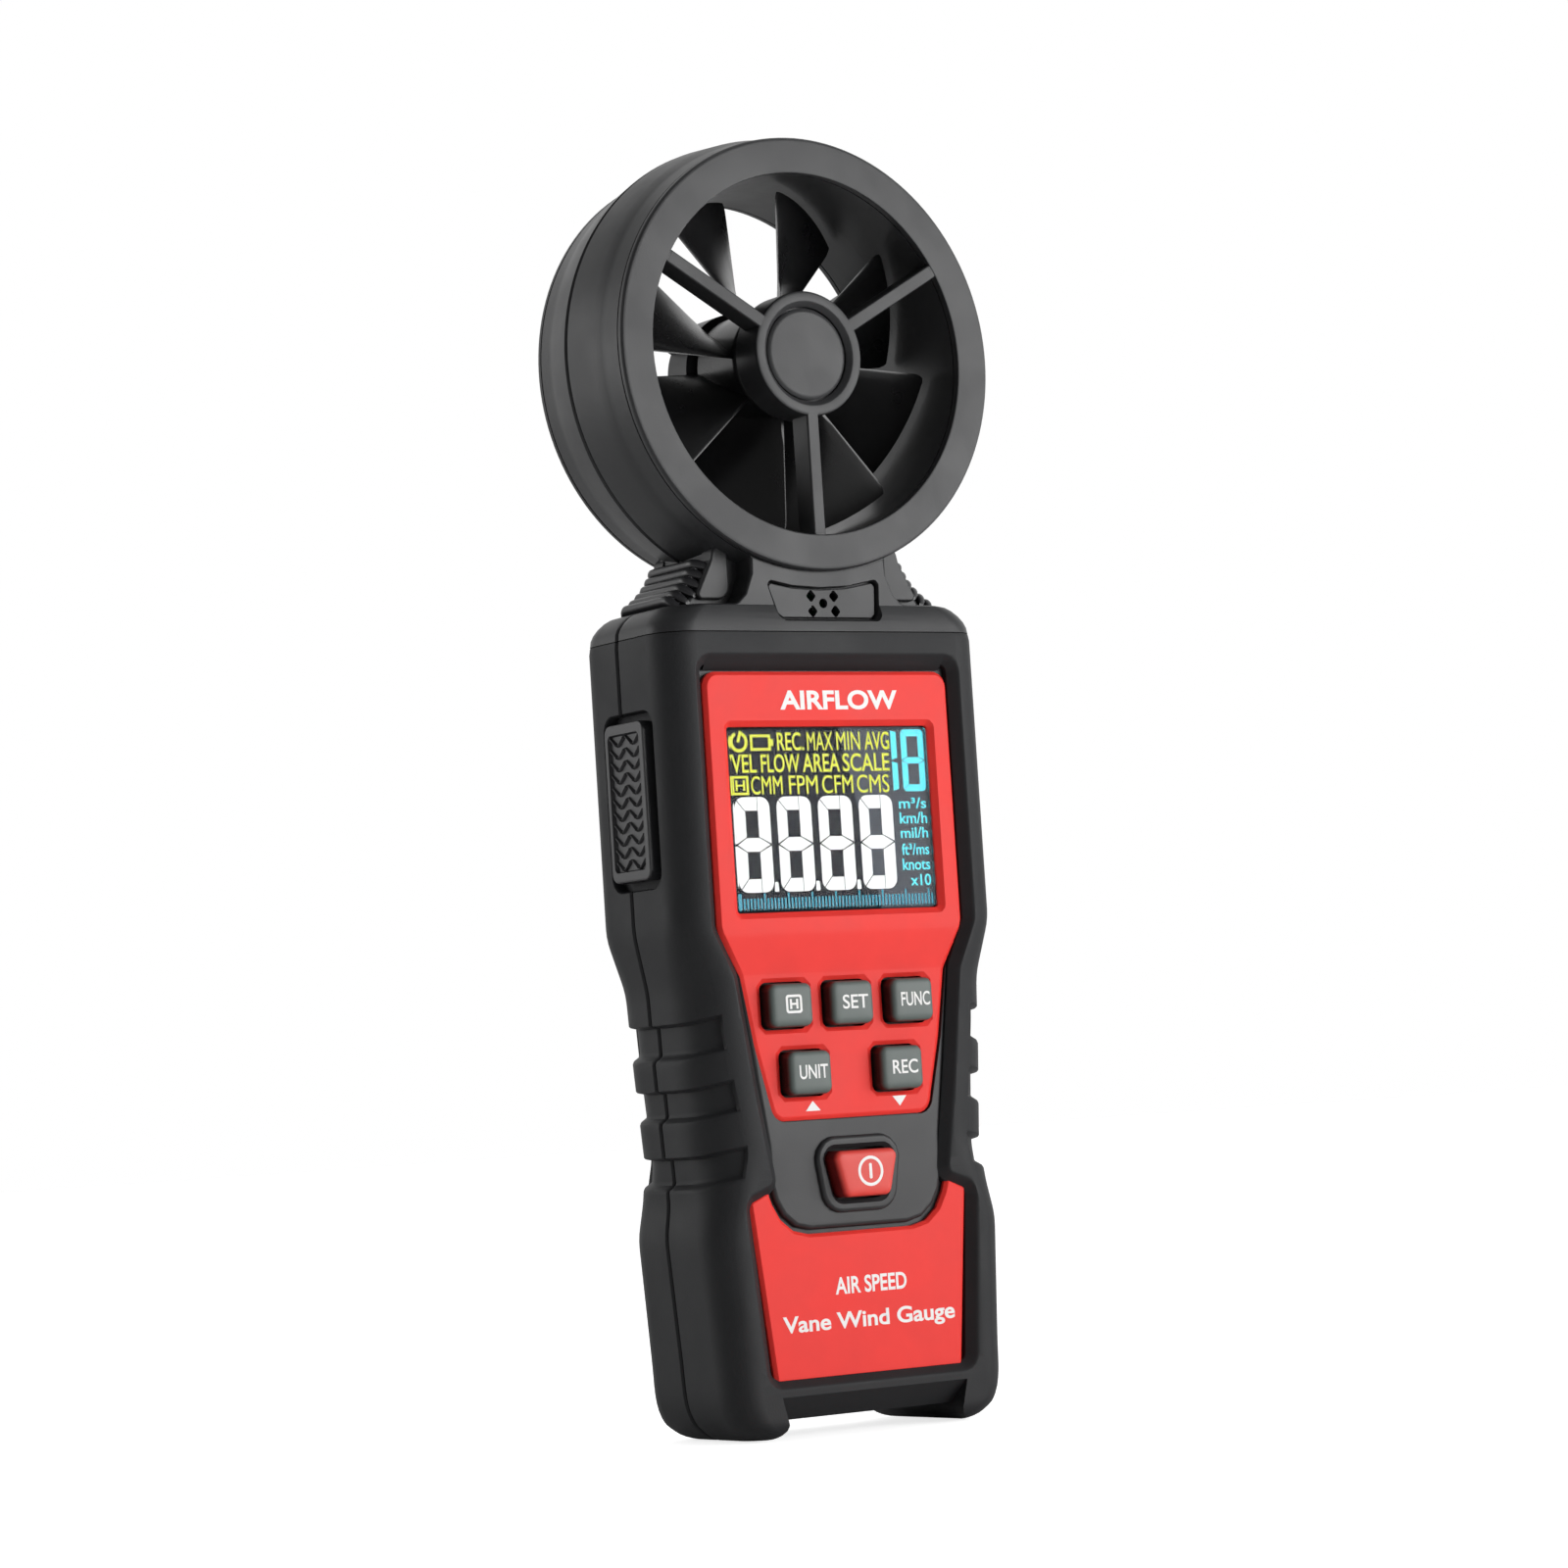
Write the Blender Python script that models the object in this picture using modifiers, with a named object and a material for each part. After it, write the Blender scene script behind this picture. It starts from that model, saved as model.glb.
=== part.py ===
"""Vane anemometer: a handheld air speed meter, modelled as the assembly it is on the bench.

The frame is X to the right, +Y towards the back and +Z up, in metres.  The origin is under
the middle of the meter, on the surface that its two feet stand on.  Depths are counted back
from the rim of the front cover, and FRONT_Y is where that rim lies in the frame.
"""
import math

import bmesh
import bpy
from mathutils import Matrix, Vector

for old_object in list(bpy.data.objects):
    bpy.data.objects.remove(old_object)

MM = 0.001
GAP = 0.3 * MM

# ---- driving dimensions -------------------------------------------------------------------
BODY_DEPTH = 28.0 * MM
POWER_KEY_PROUD = 1.85 * MM
FRONT_Y = -(BODY_DEPTH - POWER_KEY_PROUD) / 2
PARTING = 15.0 * MM

RING_CENTRE = 176.0 * MM
DUCT_RADIUS = 30.0 * MM
BEZEL_RADIUS = 36.0 * MM
BAND_RADIUS = 37.6 * MM
BEZEL_THICK = 1.2 * MM
RING_BACK = 27.8 * MM

COVER_WALL = 2.3 * MM
CASE_FRONT = COVER_WALL + GAP
CASE_BACK = BODY_DEPTH - COVER_WALL - GAP
CASE_WALL = 1.5 * MM
CASE_BOTTOM = 5.5 * MM
CASE_CORNER = 2.0 * MM

PANEL_FRONT = 0.9 * MM
KEYPAD_FRONT = 1.7 * MM
PLATE_FRONT = 1.2 * MM
TONGUE_FRONT = 1.5 * MM
PANEL_BACK = CASE_FRONT - GAP
NECK_FRONT = 1.3 * MM

SCREEN_HALF = 19.65 * MM
SCREEN_LOW = 84.4 * MM
SCREEN_HIGH = 114.4 * MM

KEY_SIZE = (8.2 * MM, 7.1 * MM)
KEY_FRONT = -0.8 * MM
KEY_BACK = 4.1 * MM
KEY_TRAVEL = 0.8 * MM
KEY_ROW_Z = (69.2 * MM, 58.2 * MM)
KEY_COLUMN = 11.9 * MM
KEY_INNER = 9.0 * MM

HUB_RADIUS = 10.4 * MM
HUB_DEPTH = 6.2 * MM
SPOKE_WIDTH = 2.3 * MM
SPOKE_DEPTH = 4.5 * MM
SPOKE_ANGLES = (30, 150, 270)

ROTOR_FRONT = 7.6 * MM
ROTOR_BACK = 20.4 * MM
ROTOR_HUB = 9.4 * MM
BLADE_TIP = 28.9 * MM
BLADE_FRONT = 8.6 * MM
BLADE_BACK = 19.6 * MM
BLADE_COUNT = 8
BLADE_TWIST = -38
BLADE_START = -2.5
BLADE_THICK = 0.9 * MM
SHAFT_RADIUS = 1.0 * MM
BEARING_RADIUS = 2.6 * MM

CELL_RADIUS = 5.1 * MM
CELL_LENGTH = 43.4 * MM
CELL_TIP = 1.0 * MM
CELL_PITCH = 11.3 * MM
CELL_DEPTH = 18.4 * MM
CELL_LOW = 18.1 * MM
TRAY_FRONT = 12.4 * MM
TRAY_BACK = 24.4 * MM
TRAY_HALF = 17.6 * MM
TRAY_LOW = 16.0 * MM
TRAY_HIGH = 64.5 * MM
CONTACT_THICK = 0.5 * MM
CONTACT_LOW = 17.3 * MM
CONTACT_HIGH = 62.9 * MM

DOOR_HALF = (17.6 * MM, 28.7 * MM)
DOOR_CENTRE = 44.3 * MM
DOOR_BACK = BODY_DEPTH - 0.2 * MM

SHANK_RADIUS = 1.0 * MM
HEAD_HEIGHT = 1.2 * MM
UPPER_SCREW = (23.8 * MM, 123.0 * MM)
LOWER_SCREW = (19.5 * MM, 10.5 * MM)
DOOR_SCREW = (0.0, 69.5 * MM)

# half widths of the cover and of the case inside it, and the cover's corner radius,
# each as (height, value) in millimetres
COVER_OUTLINE = ((0, 21.5), (0.8, 23.6), (2, 25.0), (4, 26.4), (7, 27.1), (13, 27.4), (33, 28.8),
                 (38, 27.9), (60, 29.1), (72.3, 29.5), (82, 31.4), (130, 31.4))
CASE_OUTLINE = ((5, 20.5), (8, 23.2), (33, 25.0), (38, 25.2), (41, 24.2), (74, 25.2),
                (82, 28.2), (135, 28.2))
CORNER_OUTLINE = ((0, 5), (33, 6), (37, 6.5), (45, 9.5), (74, 8.5), (82, 6), (130, 6))
POCKETS = ((41.4, 45.4), (52.2, 56.2), (62.2, 66.8))
POCKET_DEPTH = 1.5

# right half of the front cover's opening, then of the two red plates, as (x, z) in millimetres
OPENING_HALF = ((25.6, 126), (25.6, 82), (22.0, 74.3), (19.4, 56), (17.3, 43), (17.0, 40.6),
                (22.6, 38.4), (20.2, 8.3))
PANEL_HALF = ((24.0, 123.5), (24.0, 82.2), (23.7, 80.9), (20.1, 74.3), (18.2, 63), (15.2, 50.6))
PLATE_HALF = ((17.5, 39.8), (21.3, 38.1), (18.3, 8.8))
TONGUE_HALF = ((15.0, 49.7), (18.2, 49.7), (16.8, 41.0), (16.1, 38.0), (14.7, 35.5), (12.4, 33.6),
               (9.5, 32.9))
POWER_HALF = ((6.4, 45.3), (4.43, 37.7))

meter = bpy.data.collections.new("vane_anemometer")
cutting = bpy.data.collections.new("cutters")
for new_collection in (meter, cutting):
    bpy.context.scene.collection.children.link(new_collection)


# ---- shape helpers ------------------------------------------------------------------------
def along(outline, height):
    """Value of a (height, value) outline at a height in millimetres."""
    for (low, first), (high, last) in zip(outline, outline[1:]):
        if height <= high:
            return first + (last - first) * (height - low) / (high - low)
    return outline[-1][1]


def scaled(points):
    return [(x * MM, z * MM) for x, z in points]


def mirrored(half):
    """Closed outline from its right half, listed from the top down."""
    return scaled(half) + [(-x, z) for x, z in reversed(scaled(half))]


def rounded(points, radius, steps=3):
    """The closed outline with an arc in each corner that is sharp enough to take one."""
    result = []
    for i, point in enumerate(points):
        corner = Vector(point)
        before = Vector(points[i - 1]) - corner
        after = Vector(points[(i + 1) % len(points)]) - corner
        half = before.angle(after) / 2
        if half > math.radians(80):
            result.append(tuple(corner))
            continue
        reach = min(radius / math.tan(half), before.length * 0.45, after.length * 0.45)
        bend = reach * math.tan(half)
        bisector = (before.normalized() + after.normalized()).normalized()
        centre = corner + bisector * (bend / math.sin(half))
        start = corner + before.normalized() * reach - centre
        end = corner + after.normalized() * reach - centre
        for step in range(steps + 1):
            turn = start.lerp(end, step / steps).normalized() * bend
            result.append(tuple(centre + turn))
    return result


def rectangle(x, z, half_x, half_z):
    return [(x - half_x, z - half_z), (x + half_x, z - half_z),
            (x + half_x, z + half_z), (x - half_x, z + half_z)]


def add_object(name, bm, collection=meter):
    """A new object, placed at the rim's depth, from a bmesh whose faces are turned outwards."""
    bmesh.ops.recalc_face_normals(bm, faces=bm.faces)
    mesh = bpy.data.meshes.new(name)
    bm.to_mesh(mesh)
    bm.free()
    item = bpy.data.objects.new(name, mesh)
    item.location.y = FRONT_Y
    collection.objects.link(item)
    return item


def plate(name, outline, front, back, collection=meter):
    """A flat outline in X and Z, as thick as the depths say."""
    curve = bpy.data.curves.new(name, "CURVE")
    curve.dimensions = "2D"
    curve.fill_mode = "BOTH"
    curve.extrude = (back - front) / 2
    spline = curve.splines.new("POLY")
    spline.points.add(len(outline) - 1)
    for point, (x, z) in zip(spline.points, outline):
        point.co = (x, z, 0, 1)
    spline.use_cyclic_u = True
    flat = bpy.data.objects.new(name + "_outline", curve)
    cutting.objects.link(flat)
    bpy.context.view_layer.update()
    mesh = bpy.data.meshes.new_from_object(flat.evaluated_get(bpy.context.evaluated_depsgraph_get()))
    bpy.data.objects.remove(flat)
    bm = bmesh.new()
    bm.from_mesh(mesh)
    bpy.data.meshes.remove(mesh)
    bmesh.ops.remove_doubles(bm, verts=bm.verts, dist=1e-6)
    stand_up = Matrix.Translation((0, (front + back) / 2, 0)) @ Matrix.Rotation(math.pi / 2, 4, "X")
    bm.transform(stand_up)
    return add_object(name, bm, collection)


def box(name, low, high, collection=meter):
    bm = bmesh.new()
    bmesh.ops.create_cube(bm, size=1)
    size = Vector(high) - Vector(low)
    bmesh.ops.scale(bm, vec=size, verts=bm.verts)
    bmesh.ops.translate(bm, vec=(Vector(high) + Vector(low)) / 2, verts=bm.verts)
    return add_object(name, bm, collection)


def rod(name, x, z, radius, front, back, collection=meter, sides=16):
    """A round bar along Y."""
    bm = bmesh.new()
    bmesh.ops.create_cone(bm, cap_ends=True, segments=sides, radius1=radius, radius2=radius,
                          depth=back - front)
    lay_down = Matrix.Translation((x, (front + back) / 2, z)) @ Matrix.Rotation(-math.pi / 2, 4, "X")
    bm.transform(lay_down)
    return add_object(name, bm, collection)


def loft(name, rings, collection=meter, twisted=False):
    """A closed solid through rings that all have the same number of points."""
    bm = bmesh.new()
    loops = [[bm.verts.new(point) for point in ring] for ring in rings]
    count = len(rings[0])
    for lower, upper in zip(loops, loops[1:]):
        for i in range(count):
            j = (i + 1) % count
            bm.faces.new((lower[i], lower[j], upper[j], upper[i]))
    bm.faces.new(loops[0])
    bm.faces.new(loops[-1])
    if twisted:
        bmesh.ops.triangulate(bm, faces=bm.faces)
    return add_object(name, bm, collection)


def turned(name, profile, centre, steps=48, collection=meter):
    """A ring or disc turned about a line along Y, from its (radius, depth) profile."""
    mesh = bpy.data.meshes.new(name)
    closed = profile[0][0] > 0
    count = len(profile)
    edges = [(i, i + 1) for i in range(count - 1)] + ([(count - 1, 0)] if closed else [])
    mesh.from_pydata([(radius, 0, depth) for radius, depth in profile], edges, [])
    blank = bpy.data.objects.new(name + "_profile", mesh)
    cutting.objects.link(blank)
    screw = blank.modifiers.new("turn", "SCREW")
    screw.steps = steps
    screw.render_steps = steps
    screw.use_merge_vertices = True
    screw.merge_threshold = 0.00001
    bpy.context.view_layer.update()
    solid = bpy.data.meshes.new_from_object(blank.evaluated_get(bpy.context.evaluated_depsgraph_get()))
    bpy.data.objects.remove(blank)
    bm = bmesh.new()
    bm.from_mesh(solid)
    bpy.data.meshes.remove(solid)
    bmesh.ops.remove_doubles(bm, verts=bm.verts, dist=1e-6)
    bm.transform(Matrix.Translation((centre[0], 0, centre[1])) @ Matrix.Rotation(-math.pi / 2, 4, "X"))
    return add_object(name, bm, collection)


def combine(target, others, operation):
    """Boolean the others into the target, and keep them as hidden cutters."""
    for other in others:
        for owner in list(other.users_collection):
            owner.objects.unlink(other)
        cutting.objects.link(other)
        other.hide_render = True
        other.display_type = "WIRE"
        modifier = target.modifiers.new(operation.lower(), "BOOLEAN")
        modifier.operation = operation
        modifier.solver = "EXACT"
        modifier.object = other
    return target


def cut(target, *cutters):
    return combine(target, cutters, "DIFFERENCE")


def join(target, *parts):
    return combine(target, parts, "UNION")


def bevelled(item, width, segments=2, angle=40):
    modifier = item.modifiers.new("edges", "BEVEL")
    modifier.width = width
    modifier.segments = segments
    modifier.limit_method = "ANGLE"
    modifier.angle_limit = math.radians(angle)
    return item


def centre_on(item, x, z, depth=0.0):
    """Move the object's origin to a line along Y, and leave its shape where it is."""
    shift = Vector((x, depth, z))
    item.data.transform(Matrix.Translation(-shift))
    item.location += shift


# ---- materials ----------------------------------------------------------------------------
def material(name, colour, roughness, metallic=0.0):
    made = bpy.data.materials.new(name)
    made.use_nodes = True
    shader = made.node_tree.nodes["Principled BSDF"]
    shader.inputs["Base Color"].default_value = (*colour, 1)
    shader.inputs["Roughness"].default_value = roughness
    shader.inputs["Metallic"].default_value = metallic
    return made


FINISHES = {
    "soft_rubber": ((0.030, 0.031, 0.033), 0.75, 0),
    "black_plastic": ((0.035, 0.036, 0.038), 0.5, 0),
    "red_plastic": ((0.80, 0.045, 0.035), 0.45, 0),
    "key_rubber": ((0.11, 0.125, 0.12), 0.6, 0),
    "red_rubber": ((0.70, 0.05, 0.045), 0.5, 0),
    "clear_plastic": ((0.6, 0.65, 0.7), 0.1, 0),
    "display_glass": ((0.01, 0.015, 0.03), 0.2, 0),
    "white_plastic": ((0.75, 0.75, 0.72), 0.5, 0),
    "board_green": ((0.02, 0.12, 0.05), 0.5, 0),
    "steel": ((0.6, 0.6, 0.6), 0.3, 1),
    "brass": ((0.75, 0.55, 0.25), 0.35, 1),
    "cell_jacket": ((0.10, 0.16, 0.30), 0.35, 0),
}


def finish(item, kind):
    """Give the piece its own material, and smooth shading between its sharp edges."""
    colour, roughness, metallic = FINISHES[kind]
    item.data.materials.clear()
    item.data.materials.append(material(item.name + "_" + kind, colour, roughness, metallic))
    item.data.shade_smooth()
    item.data.set_sharp_from_angle(angle=math.radians(35))
    return item


# ---- sections of the body -----------------------------------------------------------------
def half_section(width, corner, face, parting, inset=0.0, dent=0.0, steps=5):
    """Half of the body's section: from the left parting, round the face, to the right one.

    The face is the depth of the front or the back, and the dent presses the side in where it
    is further than the pocket's end from that face.
    """
    side = 1 if parting > face else -1
    face += inset * side
    right = [(width - corner + corner * math.sin(turn), face + side * corner * (1 - math.cos(turn)))
             for turn in [math.pi / 2 * i / steps for i in range(steps + 1)]]
    right.append((width, parting))
    pressed = []
    for x, depth in right:
        share = min(max((abs(depth - face) / MM - 1.6) / 1.2, 0), 1)
        pressed.append((x - dent * share, depth))
    left = [(-x, depth) for x, depth in reversed(pressed)]
    return left + pressed


def cover_solid(name, face, parting, collection=meter):
    """Outside of one half of the rubber cover, with the finger pockets pressed into its sides."""
    levels = {z for z, _ in COVER_OUTLINE} | {z for z, _ in CORNER_OUTLINE} | {1.4, 3}
    dents = {}
    for low, high in POCKETS:
        for z, dent in ((low - 0.9, 0), (low, POCKET_DEPTH), (high, POCKET_DEPTH), (high + 0.5, 0)):
            dents[z] = dent
    rings = []
    for z in sorted(levels | set(dents)):
        height = min(z, 130 - 0.15)
        rounding = max(3 - z, 0)
        inset = 3 - math.sqrt(9 - rounding ** 2)
        ring = half_section(along(COVER_OUTLINE, z) * MM, along(CORNER_OUTLINE, z) * MM, face,
                            parting, inset * MM, dents.get(z, 0) * MM)
        rings.append([(x, depth, height * MM) for x, depth in ring])
    return loft(name, rings, collection)


def case_solid(name, face, parting, grow, bottom, top, collection=cutting):
    """One half of the hard case's outline, made larger all round by grow."""
    levels = [bottom] + [z * MM for z, _ in CASE_OUTLINE if bottom < z * MM < top] + [top]
    side = 1 if parting > face else -1
    rings = []
    for z in levels:
        width = along(CASE_OUTLINE, z / MM) * MM + grow
        ring = half_section(width, CASE_CORNER, face - side * grow, parting, steps=2)
        rings.append([(x, depth, z) for x, depth in ring])
    return loft(name, rings, collection)


# ---- covers -------------------------------------------------------------------------------
def foot_gap(name):
    """The hollow between the two feet, with its sloped front and back edges."""
    profile = ((-1, -1), (-1, 6.7), (0.2, 6.7), (3.6, 2.9), (24.4, 2.9), (27.8, 6.7), (29, 6.7), (29, -1))
    rings = [[(x * MM, depth * MM, z * MM) for depth, z in profile] for x in (-17.3, 17.3)]
    return loft(name, rings, cutting)


def side_pocket(name):
    """Both pockets that the side pads sit in."""
    low, high = (29.6 * MM, 6.0 * MM, 89.4 * MM), (34 * MM, 20.2 * MM, 117.6 * MM)
    right = box(name, low, high, cutting)
    left = box(name + "_left", (-high[0], low[1], low[2]), (-low[0], high[1], high[2]), cutting)
    return [right, left]


def front_cover():
    cover = cover_solid("front_grip", 0.0, PARTING - GAP / 2)
    hollow = case_solid("front_grip_hollow", CASE_FRONT, PARTING + MM, GAP, CASE_BOTTOM - GAP, 140 * MM)
    opening = plate("front_opening", rounded(mirrored(OPENING_HALF), 2.2 * MM), -2 * MM, 4 * MM, cutting)
    cut(cover, foot_gap("front_foot_gap"), hollow, opening, *side_pocket("front_side_pocket"))
    return finish(cover, "soft_rubber")


def rear_cover():
    cover = cover_solid("rear_grip", BODY_DEPTH, PARTING + GAP / 2)
    hollow = case_solid("rear_grip_hollow", CASE_BACK, PARTING - MM, GAP, CASE_BOTTOM - GAP, 140 * MM)
    frame = rectangle(0, DOOR_CENTRE, DOOR_HALF[0] + 0.4 * MM, DOOR_HALF[1] + 0.4 * MM)
    door = plate("door_opening", rounded(frame, 3 * MM), 24 * MM, 30 * MM, cutting)
    cut(cover, foot_gap("rear_foot_gap"), hollow, door, *side_pocket("rear_side_pocket"))
    for index, (x, z) in enumerate(screw_places()):
        cut(cover, rod(f"head_hole_{index}", x, z, 3.1 * MM, 24 * MM, 30 * MM, cutting))
    return finish(cover, "soft_rubber")


# ---- hard case ----------------------------------------------------------------------------
def screw_places():
    return [(side * x, z) for x, z in (UPPER_SCREW, LOWER_SCREW) for side in (-1, 1)]


def shoulder_solid(name, face, parting):
    """The step of the case that closes the covers' top."""
    side = 1 if parting > face else -1
    rings = []
    for z, width, inset in ((130.15, 31.2, 0.2), (131.3, 31.1, 0.3), (132.6, 30.4, 0.6),
                            (133.7, 29.0, 1.2), (134.4, 27.0, 2.2)):
        corner = 6 * MM if side > 0 else 7 * MM
        ring = half_section(width * MM, corner, face + side * inset * MM, parting)
        rings.append([(x, depth, z * MM) for x, depth in ring])
    return loft(name, rings, cutting)


NECK_CORE = ((17.6, 147), (18.2, 142.2), (20.2, 138.6), (23.4, 135.2), (24.6, 133.5))
NECK_PLATE = ((12.8, 147), (13.2, 139.5), (14.6, 136.2), (16.0, 134.6), (18.6, 133.6))
LABEL = ((-10.5, 138.6), (-5.5, 137.6), (0, 137.3), (5.5, 137.6), (11.0, 138.7), (11.6, 138.0),
         (11.3, 132.8), (10.6, 132.1), (-7.6, 132.1), (-8.6, 132.9))


def band_profile(face, front_radius, parting):
    """Channel section of one half of the ring: outer band, web and duct wall."""
    side = 1 if parting > face else -1
    outer = [(front_radius, face), (front_radius + 0.5 * MM, face + side * 4.6 * MM),
             (front_radius + 1.1 * MM, face + side * 6.2 * MM), (BAND_RADIUS, parting)]
    web = face + side * 1.7 * MM
    inner = [(BAND_RADIUS - 1.8 * MM, parting), (front_radius - 1.8 * MM, web),
             (DUCT_RADIUS + 1.5 * MM, web), (DUCT_RADIUS + 1.5 * MM, parting),
             (DUCT_RADIUS - 0.6 * MM, parting), (DUCT_RADIUS - 0.6 * MM, face)]
    return outer + inner


def case_half(name, face, neck_face, ring_face, ring_radius, parting):
    """One half of the hard case: tub, shoulder, neck and half of the ring."""
    side = 1 if parting > face else -1
    tub = case_solid(name, face, parting, 0.0, CASE_BOTTOM, 131 * MM, meter)
    shoulder = shoulder_solid(name + "_shoulder", 0.0 if side > 0 else BODY_DEPTH, parting)
    core_face = neck_face + side * 4.7 * MM
    core = plate(name + "_core", mirrored(NECK_CORE), min(core_face, parting),
                 max(core_face, parting), cutting)
    front = plate(name + "_neck", mirrored(NECK_PLATE), min(neck_face, parting),
                  max(neck_face, parting), cutting)
    band = turned(name + "_band", band_profile(ring_face, ring_radius, parting), (0, RING_CENTRE),
                  collection=cutting)
    join(tub, shoulder, core, front, band)
    beyond = parting + side * MM
    hollow = case_solid(name + "_hollow", face, beyond, -CASE_WALL, CASE_BOTTOM + CASE_WALL, 128.3 * MM)
    low, high = sorted((neck_face + side * 2.6 * MM, beyond))
    throat = box(name + "_throat", (-9.5 * MM, low, 127 * MM), (9.5 * MM, high, 140.5 * MM), cutting)
    low, high = sorted((ring_face - side * 6 * MM, ring_face + side * 0.02 * MM))
    seat = rod(name + "_bezel_seat", 0, RING_CENTRE, ring_radius + GAP, low, high, cutting, 48)
    return cut(tub, hollow, throat, seat)


def finish_case(case):
    """Bore the air duct last, and give the case its plastic."""
    cut(case, rod(case.name + "_duct", 0, RING_CENTRE, DUCT_RADIUS, -5 * MM, 35 * MM, cutting, 48))
    return finish(case, "black_plastic")


def bosses(case, front, back, hole):
    """Posts that the case screws run in, with their holes."""
    for index, (x, z) in enumerate(screw_places()):
        join(case, rod(f"{case.name}_post_{index}", x, z, 3.2 * MM, front, back, cutting, 12))
    for index, (x, z) in enumerate(screw_places()):
        cut(case, rod(f"{case.name}_bore_{index}", x, z, 1.3 * MM, *hole, cutting, 10))
    return case


def key_places():
    """Name and centre of each of the five square keys."""
    upper, lower = KEY_ROW_Z
    return (("key_hold", -KEY_COLUMN, upper), ("key_set", 0.0, upper), ("key_func", KEY_COLUMN, upper),
            ("key_unit", -KEY_INNER, lower), ("key_rec", KEY_INNER, lower))


def key_hole(name, x, z, clearance, front, back):
    half_x = KEY_SIZE[0] / 2 + clearance
    half_z = KEY_SIZE[1] / 2 + clearance
    return plate(name, rounded(rectangle(x, z, half_x, half_z), 1.2 * MM), front, back, cutting)


def power_outline(clearance):
    """The power key's outline, wider at the top, made larger all round."""
    (top, high), (bottom, low) = scaled(POWER_HALF)
    half = ((top + clearance, high + clearance), (bottom + clearance, low - clearance))
    points = list(half) + [(-x, z) for x, z in reversed(half)]
    return rounded(points, 1.3 * MM + clearance)


def front_case():
    case = case_half("front_case", CASE_FRONT, NECK_FRONT, BEZEL_THICK + GAP, BEZEL_RADIUS,
                     PARTING - GAP / 2)
    tongue = plate("tongue", mirrored(TONGUE_HALF), TONGUE_FRONT, CASE_FRONT + MM, cutting)
    surround = plate("power_surround", power_outline(1.9 * MM), TONGUE_FRONT - 0.6 * MM,
                     CASE_FRONT + MM, cutting)
    join(case, tongue, surround)
    bosses(case, CASE_FRONT + MM, PARTING - 0.6 * MM, (6 * MM, PARTING + MM))
    for name, x, z in key_places():
        cut(case, key_hole(name + "_case_hole", x, z, 0.5 * MM, -MM, 6 * MM))
    cut(case, plate("power_case_hole", power_outline(0.5 * MM), -3 * MM, 6 * MM, cutting))
    screen = rectangle(0, (SCREEN_LOW + SCREEN_HIGH) / 2, SCREEN_HALF + 0.2 * MM,
                       (SCREEN_HIGH - SCREEN_LOW) / 2 + 0.2 * MM)
    cut(case, plate("screen_hole", screen, MM, 6 * MM, cutting))
    cut(case, plate("label_recess", scaled(LABEL), 0, NECK_FRONT + 1.6 * MM, cutting))
    cut(case, rod("vent_bore", 0.8 * MM, 134.9 * MM, 2.6 * MM, 0, 6 * MM, cutting))
    return finish_case(case)


def rear_case():
    neck_back = BODY_DEPTH - NECK_FRONT
    case = case_half("rear_case", CASE_BACK, neck_back, RING_BACK - BEZEL_THICK - GAP,
                     BEZEL_RADIUS - 0.4 * MM, PARTING + GAP / 2)
    join(case, rod("door_post", *DOOR_SCREW, 3 * MM, 19 * MM, CASE_BACK - 0.5 * MM, cutting))
    bosses(case, PARTING + 0.6 * MM, CASE_BACK - MM, (PARTING - MM, 30 * MM))
    bay_half = ((TRAY_HALF + GAP), (TRAY_HIGH - TRAY_LOW) / 2 + GAP)
    bay = rectangle(0, (TRAY_HIGH + TRAY_LOW) / 2, *bay_half)
    cut(case, plate("battery_bay", bay, 21 * MM, 30 * MM, cutting))
    cut(case, rod("door_screw_bore", *DOOR_SCREW, SHANK_RADIUS + GAP, 18 * MM, 30 * MM, cutting))
    return finish_case(case)


# ---- red plates, window and labels --------------------------------------------------------
def display_panel():
    """Upper red plate: flat round the screen, then a slope down to the lower keypad."""
    outline = rounded(mirrored(PANEL_HALF), 2.6 * MM)
    panel = plate("display_panel", outline, PANEL_FRONT, PANEL_BACK)
    slope = ((81.0, PANEL_FRONT / MM - 0.5), (81.0, PANEL_FRONT / MM), (74.3, KEYPAD_FRONT / MM),
             (40, KEYPAD_FRONT / MM), (40, PANEL_FRONT / MM - 0.5))
    rings = [[(x * MM, depth * MM, z * MM) for z, depth in slope] for x in (-30, 30)]
    cut(panel, loft("panel_slope", rings, cutting))
    screen = rectangle(0, (SCREEN_LOW + SCREEN_HIGH) / 2, SCREEN_HALF, (SCREEN_HIGH - SCREEN_LOW) / 2)
    cut(panel, plate("panel_screen", screen, -MM, 5 * MM, cutting))
    for name, x, z in key_places():
        cut(panel, key_hole(name + "_panel_hole", x, z, 0.5 * MM, -MM, 5 * MM))
    return finish(panel, "red_plastic")


def lower_plate():
    """Lower red plate: its ears stand on both sides of the tongue."""
    inner = [(x + 0.6, z - 0.6) for x, z in TONGUE_HALF[3:]]
    half = scaled(inner[::-1] + list(PLATE_HALF))
    outline = half + [(-x, z) for x, z in reversed(half)]
    return finish(plate("lower_plate", outline, PLATE_FRONT, PANEL_BACK), "red_plastic")


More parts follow.
